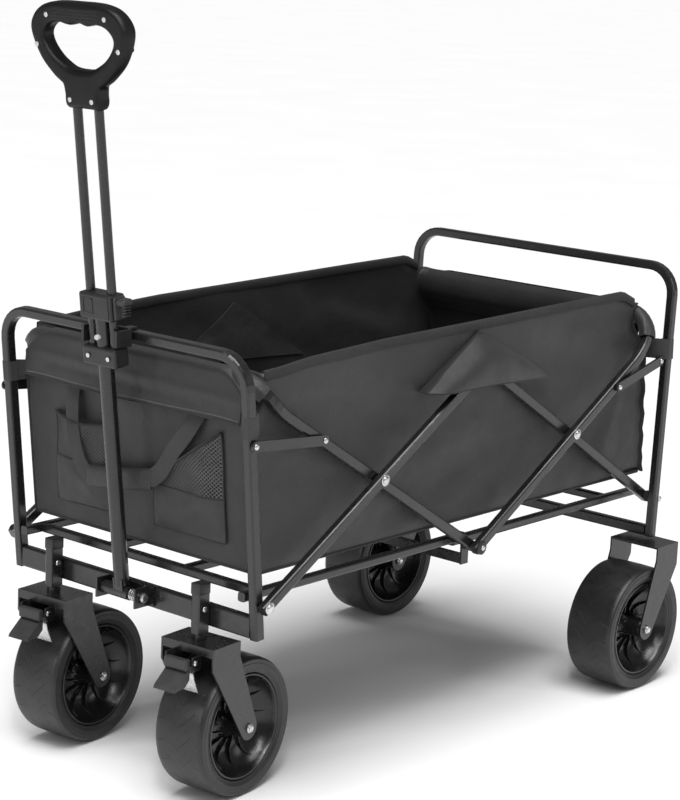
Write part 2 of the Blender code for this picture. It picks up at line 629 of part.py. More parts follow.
def handle_rod(u, w0, w1, r, n=16):
    return rod(along(w0, 0, u), along(w1, 0, u), r, n)


foot = [handle_rod(0, 0.0100, COLLAR_W[1] - 0.0020, HANDLE_TUBE_R, 24),
        rod((hx, -0.0150, hz), (hx, 0.0330, hz), 0.0088, 20),
        handle_block(-0.0085, 0.0085, -0.0080, 0.0080, 0.0040, 0.0200)]
button_w = 0.3440
united("handle_tube", foot, PAINT, tuple(hp),
       cut=[rod((hx, -0.05, hz), (hx, 0.05, hz), AXLE_R + 0.0002, 16),
            rod(along(button_w, -0.0040), along(button_w, -0.0200), 0.0038, 16)])
collar = handle_block(-0.0285, 0.0285, -0.0130, 0.0130, *COLLAR_W, 0.0030, 2)
bores = [handle_rod(u, COLLAR_W[0] - 0.02, COLLAR_W[1] + 0.02, r, 20)
         for u, r in ((0, HANDLE_TUBE_R + GAP), (ROD_Y, ROD_R + 0.0002), (-ROD_Y, ROD_R + 0.0002))]
window = handle_block(0.0060, 0.0200, -0.0200, -0.0090, COLLAR_W[0] + 0.0060, COLLAR_W[1] - 0.0060)
bores[0].free()
bore_r, bore_l = HANDLE_TUBE_R + GAP, COLLAR_W[1] - 0.0015 - COLLAR_W[0] + 0.02
bores[0] = turned([(0, 0), (bore_r, 0), (bore_r, bore_l),
                   (0, bore_l)], along(COLLAR_W[0] - 0.02), ax_h, 24)
united("handle_collar", [collar], PLASTIC, tuple(hp), cut=bores + [window])
# lock lever on the right of the collar
lever_pivot = along(COLLAR_W[0] + 0.0035, 0.0, -0.0312)
united("lock_lever", [
    handle_block(-0.0335, -0.0290, -0.0095, 0.0095, COLLAR_W[0] + 0.0030, COLLAR_W[1] - 0.0020, 0.0012, 1),
    handle_block(-0.0480, -0.0330, -0.0080, 0.0080, COLLAR_W[1] - 0.0120, COLLAR_W[1] - 0.0035, 0.0018, 1)],
    GREY_PLASTIC, tuple(lever_pivot))
new_object("snap_button", turned([(0, 0), (0.0035, 0), (0.0035, 0.0060), (0.0022, 0.0075), (0, 0.0075)],
                                 along(button_w, -0.0075), -fwd, 12), WHITE,
           tuple(along(button_w, -HANDLE_TUBE_R)))
for name, s in SIDES:
    new_object(f"handle_rod_{name}", handle_rod(s * ROD_Y, SLIDER_W[0] + 0.0040, GRIP_W[0] + 0.0160, ROD_R),
               PAINT, tuple(hp))
slider = handle_block(-0.0295, 0.0295, -0.0125, 0.0125, *SLIDER_W, 0.0030, 2)
cuts = [handle_rod(u, w0, SLIDER_W[1] + 0.02, r, 20) for u, r, w0 in
        ((0, HANDLE_TUBE_R + 0.0004, SLIDER_W[0] - 0.02), (ROD_Y, ROD_R + 0.0002, SLIDER_W[0] + 0.0035),
         (-ROD_Y, ROD_R + 0.0002, SLIDER_W[0] + 0.0035))]
united("handle_slider", [slider], PLASTIC, tuple(hp), cut=cuts)


def smooth_half(points, steps=2):
    """Catmull-Rom curve through the right half of an outline, from its top middle to its bottom middle."""
    p = [Vector(q) for q in points]
    ends = [Vector((-p[1].x, p[1].y))] + p + [Vector((-p[-2].x, p[-2].y))]
    out = []
    for a, b, c, d in zip(ends, ends[1:], ends[2:], ends[3:]):
        for k in range(steps):
            t = k / steps
            out.append(0.5 * ((2 * b) + (c - a) * t + (2 * a - 5 * b + 4 * c - d) * t * t
                              + (3 * b - a - 3 * c + d) * t ** 3))
    return out + [p[-1]]


GRIP_OUTER = ((0, 0.7575), (0.042, 0.7560), (0.068, 0.7480), (0.0815, 0.7310), (0.0800, 0.7120),
              (0.0660, 0.6860), (0.0450, 0.6660), (0.0310, 0.6560), (0.0275, 0.6420), (0.0268, GRIP_W[0]), (0, GRIP_W[0]))
GRIP_HOLE = ((0, 0.7330), (0.0160, 0.7300), (0.0300, 0.7325), (0.0480, 0.7300), (0.0600, 0.7190),
             (0.0570, 0.7060), (0.0440, 0.6920), (0.0260, 0.6820), (0.0130, 0.6785), (0.0070, 0.6780), (0, 0.6780))


def grip_mesh(half_t=0.0118, edge=0.0045):
    """D-shaped loop with a neck: rounded sections between the outer and the inner outline."""
    stations = []
    for o, i in zip(smooth_half(GRIP_OUTER), smooth_half(GRIP_HOLE)):
        stations.append((o, i))
    stations += [(Vector((-o.x, o.y)), Vector((-i.x, i.y))) for o, i in reversed(stations[1:-1])]
    bm = bmesh.new()
    rings = []
    for o, i in stations:
        d = (i - o).normalized()
        spots = [(o, -half_t + edge), (o + d * edge * 0.35, -half_t + edge * 0.3), (o + d * edge, -half_t),
                 (i - d * edge, -half_t), (i - d * edge * 0.35, -half_t + edge * 0.3), (i, -half_t + edge)]
        spots += [(p, -v) for p, v in reversed(spots)]
        rings.append([bm.verts.new(along(p.y, v, p.x)) for p, v in spots])
    n, m = len(rings), len(rings[0])
    for k in range(n):
        a, b = rings[k], rings[(k + 1) % n]
        for j in range(m):
            bm.faces.new([a[j], a[(j + 1) % m], b[(j + 1) % m], b[j]])
    return bm


united("handle_grip", [grip_mesh()], PLASTIC, tuple(hp),
       cut=[handle_rod(u, GRIP_W[0] - 0.02, GRIP_W[0] + 0.0163, ROD_R + 0.0002, 20)
            for u in (ROD_Y, -ROD_Y)],
       smooth=60.0)

# ---------------------------------------------------------------- basket
bx0, bx1 = BASKET_X
bz0, bz1 = BASKET_Z
by = BASKET_HALF_Y
wl = BASKET_WALL
sx, sz = BASKET_STEP
shell = prism([(bx0, bz0), (sx, bz0), (sx, sz), (bx1, sz), (bx1, bz1), (bx0, bz1)], -by, by)
hollow = prism([(bx0 + wl, bz0 + wl), (sx - wl, bz0 + wl), (sx - wl, sz - wl), (bx1 - wl, sz - wl),
                (bx1 - wl, bz1 + 0.05), (bx0 + wl, bz1 + 0.05)], -by + wl, by - wl)
united("basket", [shell], CLOTH, (T0[0], 0, T0[1]), cut=[hollow])
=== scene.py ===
"""Looks for a folding fabric wagon: cloth basket, wheels' fins and treads, rivets, straps and materials."""
import math

import bmesh
import bpy
import numpy as np
from mathutils import Matrix, Vector, noise


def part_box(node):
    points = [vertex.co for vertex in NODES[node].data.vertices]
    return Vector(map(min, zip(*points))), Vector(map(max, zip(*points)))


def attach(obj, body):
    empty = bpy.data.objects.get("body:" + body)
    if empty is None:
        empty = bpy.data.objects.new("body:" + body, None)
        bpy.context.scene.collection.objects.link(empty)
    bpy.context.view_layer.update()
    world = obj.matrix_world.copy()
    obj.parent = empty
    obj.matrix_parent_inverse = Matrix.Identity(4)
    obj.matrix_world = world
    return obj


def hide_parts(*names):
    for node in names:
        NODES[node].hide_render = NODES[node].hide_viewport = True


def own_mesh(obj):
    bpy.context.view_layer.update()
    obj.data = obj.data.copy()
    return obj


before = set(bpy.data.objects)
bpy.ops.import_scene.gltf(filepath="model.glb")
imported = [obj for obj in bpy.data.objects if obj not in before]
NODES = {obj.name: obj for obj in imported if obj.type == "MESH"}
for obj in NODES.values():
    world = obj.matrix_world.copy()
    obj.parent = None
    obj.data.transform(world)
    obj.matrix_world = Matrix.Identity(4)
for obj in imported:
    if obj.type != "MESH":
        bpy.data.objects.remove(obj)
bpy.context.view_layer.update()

SIDES = (("left", 1), ("right", -1))


def centre(node):
    lo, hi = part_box(node)
    return (Vector(lo) + Vector(hi)) / 2


def low(node):
    return Vector(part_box(node)[0])


def high(node):
    return Vector(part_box(node)[1])


# ---------------------------------------------------------------- materials
def new_material(name):
    m = bpy.data.materials.new(name)
    m.use_nodes = True
    nt = m.node_tree
    return m, nt, nt.nodes["Principled BSDF"], nt.nodes.new("ShaderNodeTexCoord").outputs["Object"]


def put(name, data):
    ob = bpy.data.objects.new(name, data)
    bpy.context.scene.collection.objects.link(ob)
    return ob


def node(nt, kind, **values):
    n = nt.nodes.new(kind)
    for key, value in values.items():
        if hasattr(n, key):
            setattr(n, key, value)
        else:
            n.inputs[key.replace("_", " ")].default_value = value
    return n


def ramp(nt, source, low_at, high_at, low_colour, high_colour):
    r = nt.nodes.new("ShaderNodeValToRGB")
    r.color_ramp.elements[0].position, r.color_ramp.elements[1].position = low_at, high_at
    r.color_ramp.elements[0].color = (*low_colour, 1)
    r.color_ramp.elements[1].color = (*high_colour, 1)
    nt.links.new(source, r.inputs[0])
    return r.outputs[0]


def noise_tex(nt, coords, scale, detail=3.0, rough=0.5):
    n = node(nt, "ShaderNodeTexNoise", Scale=scale, Detail=detail, Roughness=rough)
    nt.links.new(coords, n.inputs["Vector"])
    return n.outputs["Fac"]


def mottle(nt, bsdf, socket, noise_out, lo, hi, high_at=0.75):
    """Cloudy grey between two levels into a socket of the shader."""
    nt.links.new(ramp(nt, noise_out, 0.3, high_at, grey(lo), grey(hi)), bsdf.inputs[socket])


def math_node(nt, op, a, b=None, c=None):
    n = nt.nodes.new("ShaderNodeMath")
    n.operation = op
    for i, v in enumerate((a, b, c)):
        if v is None:
            continue
        if isinstance(v, (int, float)):
            n.inputs[i].default_value = v
        else:
            nt.links.new(v, n.inputs[i])
    return n.outputs[0]


def bump(nt, bsdf, layers):
    """layers: (height socket, strength, distance) one over the other."""
    previous = None
    for height, strength, distance in layers:
        b = node(nt, "ShaderNodeBump", Strength=strength, Distance=distance)
        nt.links.new(height, b.inputs["Height"])
        if previous is not None:
            nt.links.new(previous, b.inputs["Normal"])
        previous = b.outputs["Normal"]
    nt.links.new(previous, bsdf.inputs["Normal"])


def grey(v):
    return (v, v, v)


def powder_coat(name, tone, rough):
    m, nt, b, co = new_material(name)
    cloud = noise_tex(nt, co, 18, 3)
    mottle(nt, b, "Base Color", cloud, tone * 0.8, tone * 1.25)
    wear = noise_tex(nt, co, 90, 4)
    mottle(nt, b, "Roughness", wear, rough - 0.07, rough + 0.1, 0.8)
    b.inputs["Coat Weight"].default_value = 0.25
    b.inputs["Coat Roughness"].default_value = 0.16
    grain = noise_tex(nt, co, 1500, 2)
    bump(nt, b, [(noise_tex(nt, co, 260, 2), 0.05, 0.0003), (grain, 0.06, 0.0001)])
    return m


def plated_steel(name):
    m, nt, b, co = new_material(name)
    mottle(nt, b, "Base Color", noise_tex(nt, co, 160, 4), 0.50, 0.74)
    mottle(nt, b, "Roughness", noise_tex(nt, co, 420, 3), 0.20, 0.36, 0.8)
    b.inputs["Metallic"].default_value = 1.0
    bump(nt, b, [(noise_tex(nt, co, 700, 2), 0.12, 0.0002)])
    return m


def moulded(name, tone, rough, grain=900, depth=0.0002):
    m, nt, b, co = new_material(name)
    mottle(nt, b, "Base Color", noise_tex(nt, co, 30, 4), tone * 0.8, tone * 1.25)
    mottle(nt, b, "Roughness", noise_tex(nt, co, 60, 4), rough - 0.06, rough + 0.1, 0.8)
    bump(nt, b, [(noise_tex(nt, co, grain, 2), 0.25, depth), (noise_tex(nt, co, 40, 2), 0.08, 0.0008)])
    return m


def woven(nt, co, pitch):
    """Height of a plain weave seen along X, Y or Z alike: product of two fine waves."""
    split = nt.nodes.new("ShaderNodeSeparateXYZ")
    nt.links.new(co, split.inputs[0])
    k = 2 * math.pi / pitch
    flat = math_node(nt, "ADD", split.outputs[0], split.outputs[1])
    across, upward = (math_node(nt, "SINE", math_node(nt, "MULTIPLY", w, k))
                      for w in (flat, split.outputs[2]))
    return math_node(nt, "MULTIPLY", across, upward)


def cloth(name, tone, rough=0.72, pitch=0.0011, sheen=0.25, weave=0.35):
    m, nt, b, co = new_material(name)
    mottle(nt, b, "Base Color", noise_tex(nt, co, 7, 5, 0.6), tone * 0.78, tone * 1.3)
    mottle(nt, b, "Roughness", noise_tex(nt, co, 25, 4), rough - 0.08, rough + 0.08, 0.8)
    b.inputs["Sheen Weight"].default_value = sheen
    b.inputs["Sheen Roughness"].default_value = 0.5
    b.inputs["Specular IOR Level"].default_value = 0.45
    creases, sag = noise_tex(nt, co, 22, 4, 0.55), noise_tex(nt, co, 6, 3, 0.5)
    bump(nt, b, [(creases, 0.5, 0.005), (sag, 0.5, 0.012), (woven(nt, co, pitch), weave, 0.0002)])
    return m


def tyre_rubber(name):
    """Rubber with V-shaped tread grooves and a stepped side wall, round the object's own Y axis."""
    m, nt, b, tc = new_material(name)
    split = nt.nodes.new("ShaderNodeSeparateXYZ")
    nt.links.new(tc, split.inputs[0])
    x, y, z = split.outputs
    radius = math_node(nt, "SQRT", math_node(nt, "ADD", math_node(nt, "MULTIPLY", x, x),
                                             math_node(nt, "MULTIPLY", z, z)))
    angle = math_node(nt, "ARCTAN2", z, x)
    count = 20.0
    turns = math_node(nt, "MULTIPLY", angle, count / (2 * math.pi))
    off = math_node(nt, "ABSOLUTE", y)

    def groove(slope, shift, width, lo, hi):
        """1 inside a slanted groove that lies between two distances from the tyre's middle plane."""
        slant = math_node(nt, "MULTIPLY_ADD", off, slope, shift)
        phase = math_node(nt, "FRACT", math_node(nt, "ADD", turns, slant))
        edge = math_node(nt, "ABSOLUTE", math_node(nt, "SUBTRACT", phase, 0.5))
        line = node(nt, "ShaderNodeMapRange", interpolation_type="SMOOTHSTEP")
        line.inputs["From Min"].default_value = width
        line.inputs["From Max"].default_value = width * 1.6
        line.inputs["To Min"].default_value = 1.0
        line.inputs["To Max"].default_value = 0.0
        nt.links.new(edge, line.inputs[0])
        inside = math_node(nt, "MULTIPLY", math_node(nt, "GREATER_THAN", off, lo),
                           math_node(nt, "LESS_THAN", off, hi))
        return math_node(nt, "MULTIPLY", line.outputs[0], inside)

    centre_cut = groove(34.0, 0.0, 0.026, 0.0, 0.0215)
    side_cut = groove(-12.0, 0.62, 0.030, 0.0215, 0.0345)
    fine_cut = groove(34.0, 0.5, 0.018, 0.007, 0.0155)
    on_tread = math_node(nt, "GREATER_THAN", radius, 0.0865)
    cuts = math_node(nt, "MAXIMUM", math_node(nt, "MAXIMUM", centre_cut, side_cut), fine_cut)
    tread = math_node(nt, "MULTIPLY", cuts, on_tread)
    ring = nt.nodes.new("ShaderNodeMath")
    ring.operation = "PINGPONG"
    ring.inputs[1].default_value = 0.0016
    nt.links.new(radius, ring.inputs[0])
    ring_on = math_node(nt, "MULTIPLY", math_node(nt, "GREATER_THAN", off, 0.0355),
                        math_node(nt, "LESS_THAN", radius, 0.0845))
    rings = math_node(nt, "MULTIPLY", math_node(nt, "MULTIPLY", ring.outputs[0], 300.0), ring_on)
    height = math_node(nt, "SUBTRACT", math_node(nt, "MULTIPLY", rings, 0.25), tread)
    dust = noise_tex(nt, tc, 35, 5, 0.6)
    colour = ramp(nt, dust, 0.3, 0.8, grey(0.009), grey(0.020))
    # tread grooves painted 0.6 times darker than the rubber: painted shade in the grooves
    groove_shade = node(nt, "ShaderNodeMix", data_type="RGBA", blend_type="MULTIPLY")
    nt.links.new(tread, groove_shade.inputs[0])
    nt.links.new(colour, groove_shade.inputs[6])
    groove_shade.inputs[7].default_value = (0.6, 0.6, 0.6, 1)
    nt.links.new(groove_shade.outputs[2], b.inputs["Base Color"])
    mottle(nt, b, "Roughness", noise_tex(nt, tc, 80, 4), 0.36, 0.50, 0.8)
    bump(nt, b, [(height, 0.8, 0.0010), (noise_tex(nt, tc, 900, 2), 0.15, 0.0002)])
    return m


def netting(name, tone, pitch=0.0052):
    """Black knitted net: cords with holes between them."""
    m, nt, b, co = new_material(name)
    split = nt.nodes.new("ShaderNodeSeparateXYZ")
    nt.links.new(co, split.inputs[0])
    k = math.pi / pitch
    u = math_node(nt, "ADD", split.outputs[1], split.outputs[2])
    v = math_node(nt, "SUBTRACT", split.outputs[1], split.outputs[2])
    waves = [math_node(nt, "ABSOLUTE", math_node(nt, "SINE", math_node(nt, "MULTIPLY", w, k)))
             for w in (u, v)]
    hole = math_node(nt, "GREATER_THAN", math_node(nt, "MULTIPLY", *waves), 0.30)
    mottle(nt, b, "Base Color", noise_tex(nt, co, 30, 4), tone * 0.8, tone * 1.25)
    nt.links.new(math_node(nt, "SUBTRACT", 1.0, hole), b.inputs["Alpha"])
    b.inputs["Roughness"].default_value = 0.8
    bump(nt, b, [(math_node(nt, "MULTIPLY", *waves), 0.4, 0.0003)])
    return m


PAINT = powder_coat("powder_coat", 0.008, 0.30)
STEEL = plated_steel("plated_steel")
PLASTIC = moulded("plastic_black", 0.012, 0.42)
GREY = moulded("plastic_grey", 0.026, 0.45)
RIM = moulded("plastic_rim", 0.008, 0.24)
GRIP = moulded("plastic_grip", 0.010, 0.40, 1400, 0.0003)
WHITE = moulded("plastic_white", 0.55, 0.35)
CLOTH = cloth("oxford_cloth", 0.022, 0.50, sheen=0.06)
# half-tone copy of the oxford cloth for faces in the basket's shade (inner walls, flap gussets, floor
# boards): painted shade; its roughness and sheen differ too
CLOTH_SHADED = cloth("oxford_cloth_shaded", 0.011, 0.80, sheen=0.03)
BINDING = cloth("ribbed_binding", 0.016, 0.85, 0.0018, 0.08, 0.6)
WEBBING = cloth("webbing", 0.034, 0.85, 0.0026, 0.08, 0.9)
NET = netting("pocket_net", 0.095)
TYRE = tyre_rubber("tyre_rubber")
THREAD = cloth("thread", 0.13, 0.8, 0.0012)


def dress(names, mat):
    for name in names:
        ob = NODES[name]
        ob.data.materials.clear()
        ob.data.materials.append(mat)


def named(*starts):
    return [n for n in NODES if n.startswith(starts)]


dress([n for n in NODES], PAINT)
dress(named("axle_", "handle_pin", "handle_spring", "brake_plate"), STEEL)
dress(named("handle_clip", "handle_collar", "handle_slider", "bottom_hub", "top_hub", "foot_spacer"), PLASTIC)
dress(named("handle_grip"), GRIP)
dress(named("brake_pedal", "lock_lever"), GREY)
dress(named("rim_"), RIM)
dress(named("snap_button"), WHITE)


# ---------------------------------------------------------------- mesh helpers
def add(name, bm, mat, body, smooth=35.0):
    bmesh.ops.recalc_face_normals(bm, faces=bm.faces)
    me = bpy.data.meshes.new(name)
    bm.to_mesh(me)
    bm.free()
    me.materials.append(mat)
    me.shade_smooth()
    if smooth < 180:
        me.set_sharp_from_angle(angle=math.radians(smooth))
    ob = put(name, me)
    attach(ob, body)
    return ob


def sewn(name, bm, mat):
    """A piece of the basket's cloth work."""
    return add(name, bm, mat, "top_hubs", 60)


def join(*parts):
    out = bmesh.new()
    for bm in parts:
        me = bpy.data.meshes.new("tmp")
        bm.to_mesh(me)
        bm.free()
        out.from_mesh(me)
        bpy.data.meshes.remove(me)
    return out


def basis(axis):
    w = Vector(axis).normalized()
    u = w.cross(Vector((0, 0, 1)) if abs(w.z) < 0.9 else Vector((1, 0, 0))).normalized()
    return u, w.cross(u), w


def loft(bm, rings, closed=False):
    """Skin from ring to ring, capped at both ends where it doesn't close on itself."""
    m = len(rings[0])
    for a, b in list(zip(rings, rings[1:])) + ([(rings[-1], rings[0])] if closed else []):
        for j in range(m):
            bm.faces.new([a[j], a[(j + 1) % m], b[(j + 1) % m], b[j]])
    if not closed:
        bm.faces.new(rings[0])
        bm.faces.new(list(reversed(rings[-1])))
    return bm


def turned(points, origin, axis, n=24):
    u, v, w = basis(axis)
    o = Vector(origin)
    bm = bmesh.new()
    rings = []
    for r, h in points:
        if r < 1e-7:
            rings.append([bm.verts.new(o + w * h)])
        else:
            rings.append([bm.verts.new(o + w * h + (u * math.cos(a) + v * math.sin(a)) * r)
                          for a in (2 * math.pi * k / n for k in range(n))])
    for a, b in zip(rings, rings[1:]):
        for k in range(n):
            k2 = (k + 1) % n
            loop = list(dict.fromkeys([a[k % len(a)], a[k2 % len(a)], b[k2 % len(b)], b[k % len(b)]]))
            if len(loop) > 2:
                bm.faces.new(loop)
    return bm


def dome(origin, axis, r=0.0045, h=0.0022, n=20):
    """A rivet head: short skirt, rounded top."""
    pts = [(0, 0.0001), (r, 0.0001), (r, h * 0.35)]
    pts += [(r * math.cos(a), h * (0.35 + 0.65 * math.sin(a))) for a in (0.3, 0.6, 0.9, 1.2)] + [(0, h)]
    return turned(pts, origin, axis, n)


def rounded_box(lo, hi, r, segments=2):
    bm = bmesh.new()
    lo, hi = Vector(lo), Vector(hi)
    bmesh.ops.create_cube(bm, size=1.0)
    for v in bm.verts:
        v.co = Vector([lo[i] if v.co[i] < 0 else hi[i] for i in range(3)])
    bmesh.ops.bevel(bm, geom=list(bm.edges), offset=r, segments=segments, affect="EDGES", profile=0.5)
    return bm


def tube(path, r, n=8, squash=1.0, closed=False, up=None):
    """Round or oval cord along points."""
    pts = [Vector(p) for p in path]
    bm = bmesh.new()
    rings = []
    count = len(pts)
    side = None
    for i, p in enumerate(pts):
        a = pts[(i - 1) % count] if closed or i else p
        b = pts[(i + 1) % count] if closed or i < count - 1 else p
        t = (b - a).normalized()
        if side is None:
            side = t.cross(Vector(up) if up else Vector((0.31, 0.17, 0.93))).normalized()
        side = (side - t * side.dot(t)).normalized()
        other = t.cross(side)
        rings.append([bm.verts.new(p + side * (r * math.cos(g)) + other * (r * squash * math.sin(g)))
                      for g in (2 * math.pi * j / n for j in range(n))])
    return loft(bm, rings, closed)


def along(curve, n, r):
    """Round cord along curve(t), for t from 0 to 1 in n steps."""
    return tube([curve(k / n) for k in range(n + 1)], r)


def slab(a, b):
    """Closed solid between two grids of points."""
    bm = bmesh.new()
    a, b = ([[bm.verts.new(p) for p in row] for row in g] for g in (a, b))
    n, m = len(a), len(a[0])
    for i in range(n - 1):
        for j in range(m - 1):
            bm.faces.new([a[i][j], a[i + 1][j], a[i + 1][j + 1], a[i][j + 1]])
            bm.faces.new([b[i][j], b[i][j + 1], b[i + 1][j + 1], b[i + 1][j]])
    rim = ([(i, 0) for i in range(n)] + [(n - 1, j) for j in range(1, m)]
           + [(i, m - 1) for i in range(n - 2, -1, -1)] + [(0, j) for j in range(m - 2, 0, -1)])
    for p, q in zip(rim, rim[1:] + rim[:1]):
        bm.faces.new([a[p[0]][p[1]], a[q[0]][q[1]], b[q[0]][q[1]], b[p[0]][p[1]]])
    return bm


def sheet_mesh(grid, thick, out=None):
    """Closed thin solid from a grid of points [i][j]; out gives the side that the thickness goes to."""
    g = np.array([[tuple(p) for p in row] for row in grid], float)
    du = np.gradient(g, axis=0)
    dv = np.gradient(g, axis=1)
    nrm = np.cross(du, dv)
    nrm /= np.maximum(np.linalg.norm(nrm, axis=2, keepdims=True), 1e-9)
    if out is not None and (nrm @ np.array(out, float)).mean() < 0:
        nrm = -nrm
    return slab(g, g + nrm * thick)


def catmull(p, steps):
    """Catmull-Rom curve through all the points but the first and the last."""
    out = []
    for a, b, c, d in zip(p, p[1:], p[2:], p[3:]):
        for k in range(steps):
            t = k / steps
            out.append(0.5 * (2 * b + (c - a) * t + (2 * a - 5 * b + 4 * c - d) * t * t
                              + (3 * b - a - 3 * c + d) * t ** 3))
    return out + [p[-2]]


def smooth(points, steps):
    """Curve through points, run out straight at both ends."""
    return catmull([points[0] * 2 - points[1], *points, points[-1] * 2 - points[-2]], steps)


def wobble(p, scale, amount, seed=0.0):
    return noise.noise(Vector(p) * scale + Vector((seed, seed * 1.7, -seed))) * amount


# ---------------------------------------------------------------- where things are, from the frame
HUB = centre("top_hub_left")
MID_X = HUB.x
FRONT_TUBE_R, REAR_TUBE_R = 0.0087, 0.0085
FRONT_TUBE = Vector((low("front_hoop_tube").x + FRONT_TUBE_R, 0, high("front_hoop_tube").z - FRONT_TUBE_R))
REAR_TUBE = Vector((high("rear_hoop_tube").x - REAR_TUBE_R, 0, high("rear_hoop_tube").z - REAR_TUBE_R))
FLOOR_Z = low("basket").z
SIDE_Y = high("basket").y + 0.0105        # outer face of the cloth sides
SKIN = 0.0030
SLEEVE_R = 0.0128


def crumple(ob):
    """The cloth has no bones: the piece only gets a mesh of its own."""
    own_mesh(ob)
    return ob


def front_upright(z):
    """Middle of the front upright's section at a height."""
    lo, hi = low("front_frame_tube"), high("front_frame_tube")
    t = (z - lo.z) / (hi.z - lo.z)
    return (hi.x - 0.0075) + (lo.x + 0.0075 - hi.x + 0.0075) * t


def rear_upright(z):
    lo, hi = low("rear_frame_tube"), high("rear_frame_tube")
    t = (z - lo.z) / (hi.z - lo.z)
    return (hi.x - 0.0220) + 0.0154 * t


# ---------------------------------------------------------------- basket cloth
FRONT_BOTTOM_X, FRONT_HEM_X = -0.3655, -0.3840
REAR_BOTTOM_X, REAR_HEM_X = 0.4800, 0.4700
RIM_X = (-0.380, -0.280, -0.140, 0.050, 0.270, 0.400, 0.445)
RIM_Z = (0.5640, 0.5735, 0.5800, 0.5835, 0.5880, 0.5900, 0.5700)
CORNER_R = 0.007


def foot_z(x):
    """Bottom edge of the sides: it lifts a little towards the rear corner."""
    return FLOOR_Z - 0.0015 + 0.0085 * math.exp(-((x - 0.448) / 0.040) ** 2)


def rim_z(x):
    return float(np.interp(x, RIM_X, RIM_Z))


def ridge(x, z, a, b, width):
    """1 on the line from a to b, falling off sideways."""
    p, d = np.array([x - a[0], z - a[1]]), np.array([b[0] - a[0], b[1] - a[1]])
    t = min(1.0, max(0.0, float(p @ d) / float(d @ d)))
    gap = np.linalg.norm(p - d * t)
    return math.exp(-(gap / width) ** 2)


SIDE_FOLDS = (                             # height, from, to and width of each fold in a side wall
    (0.0060, (-0.330, 0.548), (-0.060, 0.520), 0.022),
    (-0.0045, (-0.300, 0.505), (-0.070, 0.470), 0.018),
    (0.0030, (-0.320, 0.460), (-0.170, 0.418), 0.014),
    (0.0045, (0.180, 0.552), (0.360, 0.520), 0.024),
    (-0.0040, (0.230, 0.520), (0.370, 0.470), 0.018),
    (0.0045, (-0.180, 0.365), (0.060, 0.440), 0.026),
    (-0.0035, (-0.120, 0.335), (0.090, 0.400), 0.018),
    (-0.0035, (0.100, 0.350), (0.330, 0.420), 0.024),
    (0.0030, (0.090, 0.490), (0.240, 0.440), 0.020),
    (0.0035, (0.360, 0.330), (0.425, 0.500), 0.014),
    (-0.0030, (0.330, 0.325), (0.400, 0.470), 0.012),
)


def side_relief(x, z, s):
    """How far a side wall stands out from flat: slack between seams, and folds that pull at the pivots."""
    t = (z - FLOOR_Z) / 0.27
    slack = math.sin(math.pi * min(1, max(0, t))) * -0.0030
    folds = 0.0
    for height, a, b, width in SIDE_FOLDS:
        folds += height * ridge(x, z, a, b, width)
    fine = wobble((x, s * 0.4, z), 9.0, 0.0034, 3.1 + s) + wobble((x, s * 0.9, z), 30.0, 0.0010, 7.3)
    hold = min(1.0, t / 0.08, (1 - t) / 0.06 + 0.15)
    return min(0.0020, (slack + folds + fine) * max(0.0, hold))


def end_relief(y, z, front):
    t = (z - FLOOR_Z) / 0.24
    slack = math.sin(math.pi * min(1, max(0, t))) * 0.0045
    fine = wobble((0.3, y, z), 10.0, 0.0036, 11.0 if front else 17.0)
    fine += wobble((0.7, y, z), 34.0, 0.0010, 5.0)
    fine += 0.0030 * ridge(y, z, (-0.190, 0.470), (-0.160, 0.340), 0.012)
    fine -= 0.0030 * ridge(y, z, (0.180, 0.450), (0.130, 0.330), 0.014)
    return (slack + fine) * min(1.0, max(0.0, t / 0.06), max(0.0, (1 - t) / 0.05 + 0.1))


def end_x(z, front):
    """Outer face of the front or rear wall: it steps in behind the tube at the top and curls over it."""
    t = (z - FLOOR_Z) / (0.49 - FLOOR_Z)
    sign, at = (-1, FRONT_TUBE) if front else (1, REAR_TUBE)
    if front:
        x = FRONT_BOTTOM_X + (FRONT_HEM_X - FRONT_BOTTOM_X) * min(1, max(0, t))
    else:
        x = REAR_BOTTOM_X + (REAR_HEM_X - REAR_BOTTOM_X) * min(1, max(0, t)) ** 1.6
    curl = SLEEVE_R ** 2 - max(0.0, z - at.z) ** 2
    back = at.x - sign * math.sqrt(max(1e-8, curl))
    k = min(1, max(0, (z - 0.495) / 0.045))
    return x + (back - x) * (k * k * (3 - 2 * k))


def corner_wave(z):
    """How far the seam of a rear corner strays from straight: loose waves, and a small ear at the bottom."""
    t = max(0.0, (z - FLOOR_Z) / (0.49 - FLOOR_Z))
    fade = max(0.0, min(1.0, (1.25 - t) / 0.25))
    return fade * (0.0024 * math.sin(34 * t ** 0.7) * min(1.0, 4 * t) + 0.0050 * math.exp(-t / 0.05))


def perimeter():
    """Stations round the wall: (kind, where along it, outward direction)."""
    out = []
    long_n, short_n, corner_n = 64, 34, 5

    def corner(cx, cy, a0):
        for k in range(1, corner_n):
            a = math.radians(a0 + 90 * k / corner_n)
            out.append(("corner", (cx, cy), (math.cos(a), math.sin(a))))

    for k in range(long_n + 1):
        out.append(("side", (k / long_n, -1), (0, -1)))
    corner(1, -1, 270)
    for k in range(short_n + 1):
        out.append(("end", (1, -1 + 2 * k / short_n), (1, 0)))
    corner(1, 1, 0)
    for k in range(long_n + 1):
        out.append(("side", (1 - k / long_n, 1), (0, 1)))
    corner(0, 1, 90)
    for k in range(short_n + 1):
        out.append(("end", (0, 1 - 2 * k / short_n), (-1, 0)))
    corner(0, -1, 180)
    return out


